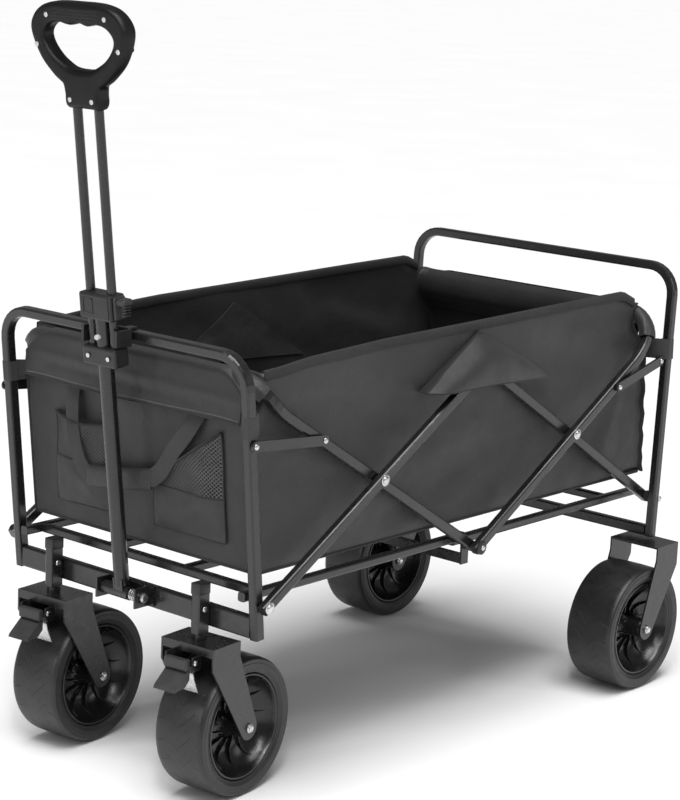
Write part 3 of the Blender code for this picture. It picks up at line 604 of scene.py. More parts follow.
def wall_point(station, t, inset=0.0):
    """A point of the wall at a share t of its height."""
    kind, where, n = station
    r = CORNER_R
    front = where[0] < 0.5
    side_rim = rim_z(-0.380 if front else 0.445)
    end_rim = (FRONT_TUBE.z if front else REAR_TUBE.z) + SLEEVE_R * 0.97
    if kind == "side":
        x_lo, x_hi = end_x(0.45, True) + r, end_x(0.45, False) - r
        x = x_lo + (x_hi - x_lo) * where[0]
        top = rim_z(x)
        z = foot_z(x) + (top - foot_z(x)) * t
        x_lo, x_hi = end_x(z, True) + r, end_x(z, False) - r
        x = x_lo + (x_hi - x_lo) * where[0]
        x += corner_wave(z) * max(0.0, (where[0] - 0.86) / 0.14) ** 2
        y = where[1] * (SIDE_Y - 0.004 * max(0, 1 - t / 0.06) + side_relief(x, z, where[1]))
        return Vector((x, y - where[1] * inset, z))
    if kind == "end":
        span = SIDE_Y - r
        y = where[1] * span
        edge = max(0.0, (abs(where[1]) - 0.88) / 0.12)
        top = end_rim + (side_rim - end_rim) * edge ** 2
        z = FLOOR_Z + (top - FLOOR_Z) * t
        d = end_relief(y, z, front) * (1 - edge ** 2)
        x = end_x(z, front) + (d if front else -d)
        if not front:
            x += corner_wave(z) * max(0.0, (abs(where[1]) - 0.86) / 0.14) ** 2
        return Vector((x + (inset if front else -inset), y, z))
    z = FLOOR_Z + (side_rim - FLOOR_Z) * t
    cx = end_x(z, front) + (r if front else -r) + (0 if front else corner_wave(z))
    cy = where[1] * (SIDE_Y - r)
    return Vector((cx + n[0] * (r - inset), cy + n[1] * (r - inset), z))


def basket_body():
    stations = perimeter()
    levels = [0, 0.015, 0.04, 0.08] + [0.13 + 0.87 * k / 22 for k in range(23)]
    bm = bmesh.new()
    outer = [[bm.verts.new(wall_point(s, t)) for s in stations] for t in levels]
    inner = [[bm.verts.new(wall_point(s, t, SKIN)) for s in stations] for t in levels]
    n = len(stations)

    def skin(a, b, flip=False):
        for k in range(n):
            f = [a[k], a[(k + 1) % n], b[(k + 1) % n], b[k]]
            bm.faces.new(list(reversed(f)) if flip else f)

    for a, b in zip(outer, outer[1:]):
        skin(a, b)
    for a, b in zip(inner, inner[1:]):
        skin(a, b, True)
    skin(outer[-1], inner[-1])
    skin(outer[0], inner[0], True)
    ob = add("basket_body", bm, CLOTH, "top_hubs", 180)
    # faces that look into the basket take the darker copy of the cloth: painted shade
    ob.data.materials.append(CLOTH_SHADED)
    for f in ob.data.polygons:
        c = f.center
        toward = Vector((MID_X - c.x, -c.y, 0))
        inside = f.normal.dot(toward) > 0 and abs(f.normal.z) < 0.7
        f.material_index = 1 if inside else 0
    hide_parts("basket")
    return crumple(ob)


def side_line(x, z, s, lift=0.0):
    """A point on a side wall's outer face at (x, z), lifted off it."""
    t = (z - FLOOR_Z) / (rim_z(x) - FLOOR_Z)
    y = SIDE_Y - 0.004 * max(0, 1 - t / 0.06) + side_relief(x, z, s)
    return Vector((x, s * (y + lift), z))


def swept_section(path, section, outward):
    """Closed section of (out, up) offsets carried along a path."""
    bm = bmesh.new()
    rings = []
    for p, o in zip(path, outward):
        o = Vector(o).normalized()
        rings.append([bm.verts.new(Vector(p) + o * a + Vector((0, 0, b))) for a, b in section])
    return loft(bm, rings)


def rim_binding(s):
    """Ribbed tape folded over the side's top edge."""
    xs = [-0.366 + (0.428 + 0.366) * k / 70 for k in range(71)]
    path = [side_line(x, rim_z(x), s) for x in xs]
    section = [(0.0012, -0.0110), (0.0019, -0.0100), (0.0019, -0.0010), (0.0010, 0.0014), (-0.0015, 0.0022),
               (-0.0040, 0.0014), (-0.0049, -0.0010), (-0.0049, -0.0100), (-0.0040, -0.0110),
               (-0.0031, -0.0105), (-0.0031, 0.0000), (0.0001, 0.0000), (0.0001, -0.0105)]
    return crumple(sewn(f"rim_binding_{'left' if s > 0 else 'right'}",
                       swept_section(path, section, [(0, s, 0)] * len(path)), BINDING))


def corner_piping():
    cords = []
    for s in (1, -1):
        for front in (True, False):
            r = CORNER_R
            pts = []
            for k in range(22):
                z = FLOOR_Z + (0.545 - FLOOR_Z) * k / 21
                x = end_x(z, front) + (0 if front else corner_wave(z))
                pts.append((x + (r * 0.22 if front else -r * 0.22), s * (SIDE_Y - r * 0.22), z))
            cords.append(tube(pts, 0.0022, 8))
        length = REAR_BOTTOM_X - FRONT_BOTTOM_X - 0.012
        edge = [(FRONT_BOTTOM_X + 0.006 + length * k / 40, s * (SIDE_Y - 0.0035), FLOOR_Z + 0.0004)
                for k in range(41)]
        cords.append(tube(edge, 0.0021, 8))
    for x in (FRONT_BOTTOM_X + 0.0006, REAR_BOTTOM_X - 0.0006):
        edge = [(x, (-1 + 2 * k / 24) * (SIDE_Y - 0.008), FLOOR_Z + 0.0004) for k in range(25)]
        cords.append(tube(edge, 0.0021, 8))
    return crumple(sewn("corner_piping", join(*cords), BINDING))


# side flap: a triangle sewn on along its two upper edges that hangs over the top hub
FLAP = {"apex": (HUB.x + 0.008, 0.5702), "front": (HUB.x - 0.116, 0.5027), "rear": (HUB.x + 0.165, 0.4946)}
FLAP_OUT = 0.0390
FLAP_EDGE_OUT = (0.0120, 0.0080)           # how far the front and rear corners stand off the wall


def edge_gap(x, z, a, b):
    d = Vector((b[0] - a[0], b[1] - a[1]))
    p = Vector((x - a[0], z - a[1]))
    return abs(d.x * p.y - d.y * p.x) / d.length


def flap_spot(u, v):
    """Where a point of the flap is, seen from the side: u from front to rear edge, v from the apex down."""
    a, f, r = (np.array(FLAP[k]) for k in ("apex", "front", "rear"))
    x, z = a + (f * (1 - u) + r * u - a) * v
    return x, z + 0.004 * math.sin(math.pi * u) * v ** 3


def flap_point(u, v, s, lift=0.0):
    x, z = flap_spot(u, v)
    share = 1.0
    for edge in ("front", "rear"):
        share *= math.sin(math.pi / 2 * min(1.0, edge_gap(x, z, FLAP["apex"], FLAP[edge]) / 0.045))
    out = FLAP_OUT * (1 - math.exp(-3.0 * share)) * (1 - 0.12 * v ** 4)
    out += wobble((x, 0.2, z), 22, 0.0022, 4.0 + s) * share
    out += v * (FLAP_EDGE_OUT[0] * (1 - u) + FLAP_EDGE_OUT[1] * u) * (1 - 0.7 * share)
    base = SIDE_Y + max(-0.003, side_relief(x, z, s)) + 0.0016
    return Vector((x, s * (base + out + lift), z))


def side_flap(s):
    tag = "left" if s > 0 else "right"
    grid = [[flap_point(i / 36, 0.02 + 0.98 * j / 28, s) for j in range(29)] for i in range(37)]
    flap = sewn(f"side_flap_{tag}", sheet_mesh(grid, 0.0011, (0, s, 0)), CLOTH)
    edges = [along(lambda t: flap_point(u, t, s, 0.0008), 30, 0.0017) for u in (0.0, 1.0)]
    edges.append(along(lambda t: flap_point(t, 1.0, s, 0.0006), 30, 0.0011))
    for u, v0, v1 in ((0.04, 0.1, 0.98), (0.96, 0.1, 0.98)):
        for k in range(26):
            a = v0 + (v1 - v0) * k / 26
            edges.append(tube([flap_point(u, a, s, 0.0012), flap_point(u, a + 0.018, s, 0.0012)], 0.0004, 5))
    trim = sewn(f"side_flap_trim_{tag}", join(*edges), BINDING)
    gussets = []
    for u in (0.0, 1.0):
        rows = []
        for k in range(25):
            v = 0.04 + 0.96 * k / 24
            x, z = flap_spot(u, v)
            wall = Vector((x, s * (SIDE_Y + side_relief(x, z, s) - 0.0008), z))
            edge = flap_point(u, v, s)
            rows.append([wall, (wall + edge) / 2, edge])
        gussets.append(sheet_mesh(rows, 0.0009, (-1 if u < 0.5 else 1, 0, 0)))
    # the gussets under the flap take the darker copy of the cloth: painted shade
    sides = sewn(f"side_flap_gussets_{tag}", join(*gussets), CLOTH_SHADED)
    patch = []
    for i in range(19):
        row = []
        for j in range(15):
            x, z = flap_spot(i / 18, 0.02 + 0.98 * j / 14)
            x, z = x - 0.050, min(z, rim_z(x) - 0.012) - 0.012 - 0.020 * (j / 14)
            row.append((x, s * (SIDE_Y + side_relief(x, z, s) - SKIN - 0.0016), z))
        patch.append(row)
    inside = sewn(f"inner_patch_{tag}", sheet_mesh(patch, 0.0014, (0, -s, 0)), CLOTH)
    for ob in (flap, trim, sides):
        crumple(ob)
    crumple(inside)


# ---------------------------------------------------------------- sleeves, valances
def hoop_route(at, plane, tilt, drop):
    """Centre line of a hoop's cross tube with its two bends, down to an angle drop of each bend."""
    r = 0.045
    leg = Vector((math.cos(tilt), 0, math.sin(tilt)))
    half = []
    for k in range(9):
        a = drop * (1 - k / 8)
        half.append(Vector((0, plane - r + r * math.sin(a), 0)) - leg * (r * (1 - math.cos(a))))
    half = [at + p for p in half]
    cross = [Vector((at.x, (plane - r) * (1 - 2 * k / 40), at.z)) for k in range(1, 40)]
    return half + cross + [Vector((p.x, -p.y, p.z)) for p in reversed(half)]


def sleeve(name, at, plane, tilt, drop, body):
    """Cloth sewn round a hoop's cross tube and its bends: wrinkled, gathered at both open ends."""
    route = hoop_route(at, plane, tilt, drop)
    m, count = 24, len(route)
    bm = bmesh.new()
    outer, inner = [], []
    side = Vector((math.sin(tilt), 0, -math.cos(tilt)))
    for i, p in enumerate(route):
        a, b = route[max(0, i - 1)], route[min(count - 1, i + 1)]
        t = (b - a).normalized()
        u = (side - t * side.dot(t)).normalized()
        v = t.cross(u)
        end = min(i, count - 1 - i) / 8
        flare = max(0.0, 1 - end * 2.5)
        ring, hollow = [], []
        for j in range(m):
            g = 2 * math.pi * j / m
            r = 0.0116 + 0.0006 * math.sin(5 * p.y / plane + 2 * g)
            r += wobble((p.y, math.cos(g) * 0.03, math.sin(g) * 0.03), 26, 0.0011, 9.0)
            r += flare * (0.0005 + 0.0011 * math.sin(7 * g))
            d = u * math.cos(g) + v * math.sin(g)
            ring.append(bm.verts.new(p + d * r))
            hollow.append(bm.verts.new(p + d * (r - 0.0010)))
        outer.append(ring)
        inner.append(hollow)
    for k in range(count - 1):
        for j in range(m):
            j2 = (j + 1) % m
            bm.faces.new([outer[k][j], outer[k + 1][j], outer[k + 1][j2], outer[k][j2]])
            bm.faces.new([inner[k][j], inner[k][j2], inner[k + 1][j2], inner[k + 1][j]])
    for k in (0, count - 1):
        for j in range(m):
            j2 = (j + 1) % m
            bm.faces.new([outer[k][j], outer[k][j2], inner[k][j2], inner[k][j]])
    return add(name, bm, CLOTH, body, 60)


VALANCE_HEM_Z, REAR_VALANCE_HEM_Z = 0.5010, 0.520


def valance_point(u, v, front, lift=0.0):
    """u across from -1 to 1, v from the sleeve down to the hem."""
    at = FRONT_TUBE if front else REAR_TUBE
    sign = -1 if front else 1
    half = SIDE_Y - 0.010
    y = u * half
    hem = VALANCE_HEM_Z if front else REAR_VALANCE_HEM_Z
    bend = max(0.0, (abs(y) - 0.150) / (half - 0.150))
    top = at.z + SLEEVE_R - 0.030 * bend ** 2.2
    z = top + (hem - 0.002 * math.cos(2.6 * u) - top) * v
    out = SLEEVE_R
    over = max(0.0, 1 - v / 0.12)
    x = at.x + sign * (out * math.sqrt(max(0.0, 1 - over ** 2)) if v < 0.12 else out)
    x -= (0.0045 if front else 0.002) * v
    waves = wobble((y, 0.1, z), 16, 0.0030, 21.0) + wobble((y, 0.4, z), 45, 0.0009, 2.0)
    x += sign * waves * min(1.0, v * 1.6)
    x += sign * 0.0016 * ridge(y, z, (-0.200, 0.530), (0.200, 0.536), 0.005)
    x -= sign * 0.0014 * ridge(y, z, (-0.120, 0.517), (0.150, 0.523), 0.006)
    return Vector((x + sign * lift, y, z))


def valance(front):
    tag = "front" if front else "rear"
    sign = -1 if front else 1
    grid = [[valance_point(-1 + 2 * i / 56, j / 22, front) for j in range(23)] for i in range(57)]
    cloth_part = sewn(f"valance_{tag}", sheet_mesh(grid, 0.0012, (sign, 0, 0)), CLOTH)
    hem = [along(lambda t: valance_point(-1 + 2 * t, 0.985, front, 0.0012), 50, 0.0013)]
    hem += [along(lambda t: valance_point(side, t, front, 0.0010), 16, 0.0012)
            for side in (-1, 1)]
    trim = sewn(f"valance_trim_{tag}", join(*hem), BINDING)
    stitches = []
    for k in range(96):
        u0 = -0.985 + 1.97 * k / 96
        a, b = valance_point(u0, 0.915, front, 0.0016), valance_point(u0 + 0.012, 0.915, front, 0.0016)
        stitches.append(tube([a, (a + b) / 2 + Vector((sign * 0.0002, 0, 0)), b], 0.00055, 5))
    seam = sewn(f"valance_stitches_{tag}", join(*stitches), THREAD)
    for ob in (cloth_part, trim, seam):
        crumple(ob)


# ---------------------------------------------------------------- wheels
CASTER_TURN = math.radians(5.3)
TYRE_HALF = 0.0385
WHEEL_R = (high("tyre_rear_left").z - low("tyre_rear_left").z) / 2


def tyre(tag):
    """Tyre with tight shoulders and a step in its side wall."""
    pts = [(0.0700, -0.0330), (0.0715, -0.0352), (0.0765, -0.0372), (0.0772, -0.0378), (0.0835, -0.0384),
           (0.0842, -0.0380), (0.0868, -0.0383), (0.0884, -0.0382), (0.0897, -0.0372), (0.0908, -0.0352)]
    for k in range(1, 24):
        h = -0.0352 + 0.0704 * k / 24
        pts.append((WHEEL_R - 0.0013 * (h / TYRE_HALF) ** 2, h))
    pts += [(r, -h) for r, h in reversed(pts[:10])]
    ob = add(f"tyre_{tag}_look", turned(pts + [(0.0700, -0.0330)], (0, 0, 0), (0, 1, 0), 144), TYRE,
             f"wheel_{tag}", 30)
    place_wheel(ob, tag)
    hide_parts(f"tyre_{tag}")


def place_wheel(ob, tag):
    ob.location = centre(f"tyre_{tag}")
    ob.rotation_euler = (0, 0, CASTER_TURN if tag.startswith("front") else 0.0)
    bpy.context.view_layer.update()


BOWL = ((0.0150, 0.0200), (0.0175, 0.0110), (0.0220, 0.0062), (0.0280, 0.0046), (0.0340, 0.0042),
        (0.0410, 0.0054), (0.0470, 0.0082), (0.0530, 0.0128), (0.0580, 0.0182), (0.0625, 0.0252),
        (0.0650, 0.0305))
RIB_FLOOR = BOWL[:3] + BOWL[4:]            # the ribs bridge the bowl's lowest curve


def fin(a0, sign, n=13):
    """One thin S-curved rib that stands up a little from the wheel's bowl."""
    rings = []
    bm = bmesh.new()
    for k in range(n):
        t = k / (n - 1)
        r = 0.0185 + (0.0610 - 0.0185) * t
        a = a0 + sign * 0.50 * math.sin(0.62 * math.pi * t)
        floor = float(np.interp(r, *zip(*RIB_FLOOR)))
        top = floor + 0.0042 * math.sin(math.pi * min(1.0, 0.12 + 0.88 * t)) ** 0.6
        p = Vector((r * math.cos(a), 0, r * math.sin(a)))
        q = Vector((-math.sin(a), 0, math.cos(a)))
        low_y, high_y = sign * (floor - 0.0012), sign * max(top, floor + 0.0002)
        rings.append([bm.verts.new(p - q * 0.0013 + Vector((0, low_y, 0))),
                      bm.verts.new(p + q * 0.0013 + Vector((0, low_y, 0))),
                      bm.verts.new(p + q * 0.0006 + Vector((0, high_y, 0))),
                      bm.verts.new(p - q * 0.0006 + Vector((0, high_y, 0)))])
    return loft(bm, rings)


def rim(tag):
    half = [(0.0043, 0.0385), (0.0110, 0.0385), (0.0132, 0.0372), (0.0140, 0.0350), *BOWL,
            (0.0662, 0.0338), (0.0670, 0.0350), (0.0688, 0.0353), (0.0697, 0.0346), (0.0699, 0.0330)]
    pts = half + [(r, -h) for r, h in reversed(half)] + [half[0]]
    parts = [turned(pts, (0, 0, 0), (0, 1, 0), 96)]
    for sign in (1, -1):
        parts += [fin(2 * math.pi * k / 12, sign) for k in range(12)]
    ob = add(f"rim_{tag}_look", join(*parts), RIM, f"wheel_{tag}", 30)
    place_wheel(ob, tag)
    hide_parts(f"rim_{tag}")


# ---------------------------------------------------------------- rivets, bolts, caps
def bolt_head(name, origin, axis, body, r=0.0050, h=0.0024, washer=0.0):
    parts = []
    o = Vector(origin)
    a = Vector(axis).normalized()
    if washer:
        profile = [(0, 0.0001), (washer, 0.0001), (washer, 0.0007), (washer - 0.0005, 0.0010), (0, 0.0010)]
        parts.append(turned(profile, o, a, 24))
        o = o + a * 0.0010
    parts.append(dome(o, a, r, h))
    return add(name, join(*parts), STEEL, body, 40)


# how far from the middle plane the outer face of each bar lies
ARM_FACE, REAR_FOOT_FACE, FRONT_LINK_FACE, REAR_LINK_FACE, HUB_FACE = 0.2385, 0.2482, 0.2299, 0.2434, 0.2419
BIG_RIVET, SMALL_RIVET, RIVET_RISE, WASHER = 0.0052, 0.0040, 0.0024, 0.0078


def scissor_fasteners():
    for tag, s in SIDES:
        axis = (0, s, 0)
        spots = (("cross_front", (-0.1641, 0.4043), ARM_FACE, "front_arms"),
                 ("cross_rear", (0.2599, 0.4043), ARM_FACE, "rear_hoop"),
                 ("foot_front", (-0.3761, 0.2755), ARM_FACE, "front_arms"),
                 ("foot_rear", (0.4719, 0.2757), REAR_FOOT_FACE, "rear_frame"),
                 ("link_front_a", (-0.4012, 0.4818), FRONT_LINK_FACE, "front_links"),
                 ("link_front_b", (-0.2746, 0.4714), FRONT_LINK_FACE, "front_links"),
                 ("link_rear_a", (0.4580, 0.4870), REAR_LINK_FACE, "rear_links"),
                 ("link_rear_b", (0.3536, 0.4612), REAR_LINK_FACE, "rear_links"),
                 ("bottom_bolt", (0.0480, 0.2757), HUB_FACE, "front_hoop"))
        for name, (x, z), y, body in spots:
            big = name.startswith(("cross", "foot_front"))
            bolt_head(f"bolt_{name}_{tag}", (x, s * y, z), axis, body, BIG_RIVET if big else SMALL_RIVET,
                      RIVET_RISE, WASHER if big else 0.0)


POST_BOLT_DROP = 0.0330                    # below the top of the caster's post
BRAKE_RIVET_Z, BRAKE_RIVET_BACK, CHEEK_FACE = 0.1965, 0.0350, 0.0228


def caster_details():
    for tag, s in SIDES:
        node_lo, node_hi = low(f"caster_post_{tag}"), high(f"caster_post_{tag}")
        mid = (node_lo + node_hi) / 2
        cap = rounded_box((node_lo.x - 0.0008, node_lo.y - 0.0008, node_hi.z - 0.0140),
                          (node_hi.x + 0.0001, node_hi.y + 0.0008, node_hi.z + 0.0012), 0.0016, 3)
        add(f"post_cap_{tag}", cap, PLASTIC, "front_frame", 40)
        for name, y, way in (("post_bolt", node_lo.y - 0.0008, -1), ("post_bolt_in", node_hi.y, 1)):
            spot = (mid.x, y, node_hi.z - POST_BOLT_DROP)
            bolt_head(f"{name}_{tag}", spot, (0, way, 0), "front_frame", 0.0042, 0.0022)
        out = Vector((-math.sin(CASTER_TURN), math.cos(CASTER_TURN), 0))
        ahead = Vector((math.cos(CASTER_TURN), math.sin(CASTER_TURN), 0))
        for sign in (1, -1):
            spot = Vector((mid.x, mid.y, BRAKE_RIVET_Z)) - ahead * BRAKE_RIVET_BACK + out * sign * CHEEK_FACE
            name = f"brake_rivet_{tag}_{'a' if sign > 0 else 'b'}"
            bolt_head(name, spot, out * sign, f"caster_{tag}", 0.0036, 0.0018)
        for node_name, place in ((f"axle_front_{tag}", 1), (f"axle_rear_{tag}", 0)):
            direction = out if place else Vector((0, 1, 0))
            c = centre(node_name)
            lo, hi = low(node_name), high(node_name)
            half = (hi.y - lo.y) / 2 - (0.0003 if place else 0)
            body = f"caster_{tag}" if place else "rear_frame"
            for sign in (1, -1):
                spot = c + direction * sign * (half - 0.0002)
                bolt_head(f"axle_nut_{'front' if place else 'rear'}_{tag}_{'a' if sign > 0 else 'b'}", spot,
                          direction * sign, body, 0.0046, 0.0018)


# ---------------------------------------------------------------- handle details
HANDLE_SLOPE = 0.1224                      # forward lean for each metre along the handle


def handle_frame():
    """Origin on the handle's pivot, with the directions across, outwards and along it."""
    along = Vector((-HANDLE_SLOPE, 0, 1)).normalized()
    return centre("handle_pin"), Vector((0, 1, 0)), Vector((-along.z, 0, along.x)), along


H_O, H_Y, H_OUT, H_UP = handle_frame()
GRIP_FACE = 0.0117                         # where the fittings on the grip's two faces sit


def on_handle(y, out, up):
    return H_O + H_Y * y + H_OUT * out + H_UP * up


GRIP_OUTER = ((0, 0.7585), (0.042, 0.7572), (0.068, 0.7490), (0.0830, 0.7315), (0.0815, 0.7115),
              (0.0670, 0.6855), (0.0450, 0.6655), (0.0310, 0.6560), (0.0278, 0.6430), (0.0270, 0.6300),
              (0.0135, 0.6297), (0, 0.6297))
GRIP_HOLE = ((0, 0.7330), (0.0150, 0.7300), (0.0300, 0.7328), (0.0480, 0.7300), (0.0600, 0.7190),
             (0.0575, 0.7060), (0.0450, 0.6920), (0.0270, 0.6815), (0.0180, 0.6785), (0.0120, 0.6775),
             (0.0060, 0.6770), (0, 0.6770))


def curve_half(points, steps):
    pts = [Vector((*p, 0)) for p in points]
    full = [Vector((-pts[1].x, pts[1].y, 0))] + pts + [Vector((-pts[-2].x, pts[-2].y, 0))]
    return catmull(full, steps)


def grip():
    """Moulded D-shaped grip with well rounded edges and finger scallops."""
    half_t, edge = 0.0120, 0.0085
    stations = list(zip(curve_half(GRIP_OUTER, 6), curve_half(GRIP_HOLE, 6)))
    stations += [(Vector((-o.x, o.y, 0)), Vector((-i.x, i.y, 0))) for o, i in reversed(stations[1:-1])]
    bm = bmesh.new()
    rings = []
    for o, i in stations:
        d = (i - o)
        width = d.length
        d.normalize()
        e = min(edge, width * 0.42)
        spots = []
        for k in range(6):
            a = math.pi / 2 * k / 5
            spots.append((o + d * e * (1 - math.cos(a)), -half_t + edge * (1 - math.sin(a))))
        for k in range(6):
            a = math.pi / 2 * (1 - k / 5)
            spots.append((i - d * e * (1 - math.cos(a)), -half_t + edge * (1 - math.sin(a))))
        spots += [(p, -v) for p, v in reversed(spots)]
        rings.append([bm.verts.new(on_handle(p.x, v, p.y)) for p, v in spots])
    ob = add("grip_look", loft(bm, rings, closed=True), GRIP, "handle_upper", 50)
    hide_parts("handle_grip")


def handle_details():
    heads = []
    for side in (1, -1):
        for y, w in ((0.051, 0.7415), (-0.051, 0.7415), (0.0715, 0.7045), (-0.0715, 0.7045), (0.0192, 0.6405),
                     (-0.0192, 0.6405)):
            heads.append(dome(on_handle(y, side * GRIP_FACE, w), H_OUT * side, 0.0034, 0.0007, 18))
    add("grip_screws", join(*heads), STEEL, "handle_upper", 40)
    dots = []
    for side in (1, -1):
        for i in range(19):
            for j in range(4):
                y = (i - 9) * 0.0042 + (0.0021 if j % 2 else 0)
                w = 0.7375 + j * 0.0038
                if abs(y) < 0.040:
                    dots.append(dome(on_handle(y, side * GRIP_FACE, w), H_OUT * side, 0.0011, 0.0006, 8))
    add("grip_dots", join(*dots), GRIP, "handle_upper", 60)
    heads = [dome(on_handle(y, 0.0138, 0.3185), H_OUT, 0.0032, 0.0010, 18) for y in (0.018, -0.018)]
    add("slider_rivets", join(*heads), STEEL, "handle_upper", 40)
    frame_bars = []
    for y0, y1, w0, w1 in ((0.0035, 0.0215, 0.3735, 0.3752), (0.0035, 0.0215, 0.3918, 0.3935),
                           (0.0035, 0.0052, 0.3735, 0.3935), (0.0198, 0.0215, 0.3735, 0.3935),
                           (-0.0245, -0.0225, 0.3700, 0.3960)):
        corners = [on_handle(y, out, w) for y in (y0, y1) for out in (0.0118, 0.0136) for w in (w0, w1)]
        bar = bmesh.new()
        verts = [bar.verts.new(c) for c in corners]
        bmesh.ops.convex_hull(bar, input=verts)
        frame_bars.append(bar)
    add("collar_frame", join(*frame_bars), PLASTIC, "handle_lower", 30)
    lo, hi = low("lock_lever"), high("lock_lever")
    ribs = []
    for k in range(5):
        z = lo.z + 0.008 + k * 0.0036
        x = (lo.x + hi.x) / 2 - 0.0035
        start, stop = (x - 0.0075, lo.y - 0.0006, z - 0.0007), (x + 0.0075, lo.y + 0.0008, z + 0.0007)
        ribs.append(rounded_box(start, stop, 0.0005, 1))
    add("lever_ribs", join(*ribs), GREY, "lock_lever", 40)


# ---------------------------------------------------------------- front pouches and carry strap
def front_face(y, z, lift=0.0):
    """A point on the front panel's outer face, lifted off it."""
    edge = max(0.0, (abs(y) / (SIDE_Y - CORNER_R) - 0.88) / 0.12)
    d = end_relief(y, z, True) * (1 - min(1.0, edge) ** 2)
    return Vector((end_x(z, True) + d - lift, y, z))


def pouch(name, y0, y1, z0, top, split, bulge):
    """Patch pocket: plain cloth below, netting above, with a bound top edge at top(u)."""
    n = 26

    def spot(u, v, lift=0.0):
        y = y0 + (y1 - y0) * u
        z = z0 + (top(u) - z0) * v
        swell = math.sin(math.pi * u) ** 0.8 * min(1.0, v / 0.35) * bulge
        swell *= 1.0 + 0.35 * math.sin(7.0 * u + 3.0 * v)
        swell += 0.0035 * ridge(u, v, (0.15, 0.05), (0.75, 0.42), 0.12) * min(1.0, 6 * v)
        swell += abs(wobble((y, 0.3, z), 38, 0.0034, 8.0)) * min(1.0, 5 * v, 8 * u, 8 * (1 - u))
        return front_face(y, z, 0.0014 + swell + lift)

    solid_rows, net_rows = [], []
    for i in range(n + 1):
        u = i / n
        v_cut = (split - z0) / (top(u) - z0)
        solid_rows.append([spot(u, v_cut * j / 8) for j in range(9)])
        net_rows.append([spot(u, v_cut + (1 - v_cut) * j / 12) for j in range(13)])
    solid = sewn(f"{name}_cloth", sheet_mesh(solid_rows, 0.0011, (-1, 0, 0)), CLOTH)
    net = sewn(f"{name}_net", sheet_mesh(net_rows, 0.0008, (-1, 0, 0)), NET)
    lines = [[spot(k / 40, 1.0, 0.0012) for k in range(41)],
             [spot(0.0, k / 20, 0.0008) for k in range(21)], [spot(1.0, k / 20, 0.0008) for k in range(21)],
             [spot(k / 30, 0.0, 0.0006) for k in range(31)]]
    seam_line = []
    for k in range(31):
        u = k / 30
        seam_line.append(spot(u, (split - z0) / (top(u) - z0), 0.0010))
    parts = [tube(lines[0], 0.0024, 8, 0.8)] + [tube(p, 0.0012, 8) for p in lines[1:]]
    parts.append(tube(seam_line, 0.0011, 8))
    trim = sewn(f"{name}_binding", join(*parts), BINDING)
    tall = sum(top(k / 20) for k in range(21)) / 21
    for ob in (solid, net, trim):
        crumple(ob)


def pouches():
    pouch("pouch_left", 0.045, 0.154, 0.337, lambda u: 0.4570 - 0.007 * math.sin(math.pi * u), 0.3985, 0.009)
    pouch("pouch_right", -0.027, -0.151, 0.337, lambda u: 0.4060 + 0.076 * u - 0.007 * math.sin(math.pi * u),
          0.395, 0.012)


def carry_strap():
    """Two webbing ends that hang from the panel's top edge and meet in a padded wrap behind the handle."""
    left = ((0.112, 0.515), (0.112, 0.500), (0.113, 0.468), (0.109, 0.437), (0.097, 0.404), (0.080, 0.388),
            (0.055, 0.387))
    right = ((-0.124, 0.515), (-0.115, 0.500), (-0.098, 0.472), (-0.079, 0.449), (-0.058, 0.420),
             (-0.038, 0.404), (-0.010, 0.399))
    lifts = (0.002, 0.004, 0.010, 0.014, 0.015, 0.016, 0.016)
    for tag, path in (("left", left), ("right", right)):
        pts = smooth([front_face(y, z, 0) - Vector((d, 0, 0)) for (y, z), d in zip(path, lifts)], 5)
        rows = []
        for i, p in enumerate(pts):
            a, b = pts[max(0, i - 1)], pts[min(len(pts) - 1, i + 1)]
            t = (b - a).normalized()
            w = t.cross(Vector((1, 0, 0))).normalized()
            rows.append([p + w * (0.0115 * k / 3) + Vector((-0.0004 * (1 - (k / 3) ** 2), 0, 0))
                         for k in range(-3, 4)])
        strap = sewn(f"carry_webbing_{tag}", sheet_mesh(rows, 0.0013, (-1, 0, 0)), WEBBING)
        crumple(strap)
    y_mid, half_y = 0.0212, 0.0588
    rings = []
    n, m = 40, 20
    bm = bmesh.new()
    for i in range(n + 1):
        t = -1 + 2 * i / n
        y = y_mid + half_y * t
        c = front_face(y, 0.3934 - 0.0085 * t - 0.0020 * (1 - t * t), 0.0160)
        end = (1 - abs(t) ** 6) ** 0.5 if abs(t) < 1 else 0.0
        ring = []
        for j in range(m):
            a = 2 * math.pi * j / m
            ch = 0.0046 * (0.55 + 0.45 * end) + wobble((y, a * 0.02, 0.1), 60, 0.0008, 3.0)
            sine = math.sin(a)
            z = c.z
            if abs(sine) > 1e-6:
                z = c.z + (0.0148 - 0.0010 * (1 - end)) * sine * abs(sine) ** -0.25
            ring.append(bm.verts.new((c.x + ch * math.cos(a), y, z)))
        rings.append(ring)
    loft(bm, rings)
    pad = sewn("carry_wrap", bm, CLOTH)
    crumple(pad)


# ---------------------------------------------------------------- webbing loops to the uprights
FRONT_POST_Y, REAR_POST_Y = 0.2250 - 0.0065, 0.2482 - 0.0066
LOOP_GAP = 0.0009                          # slack between a loop and its upright


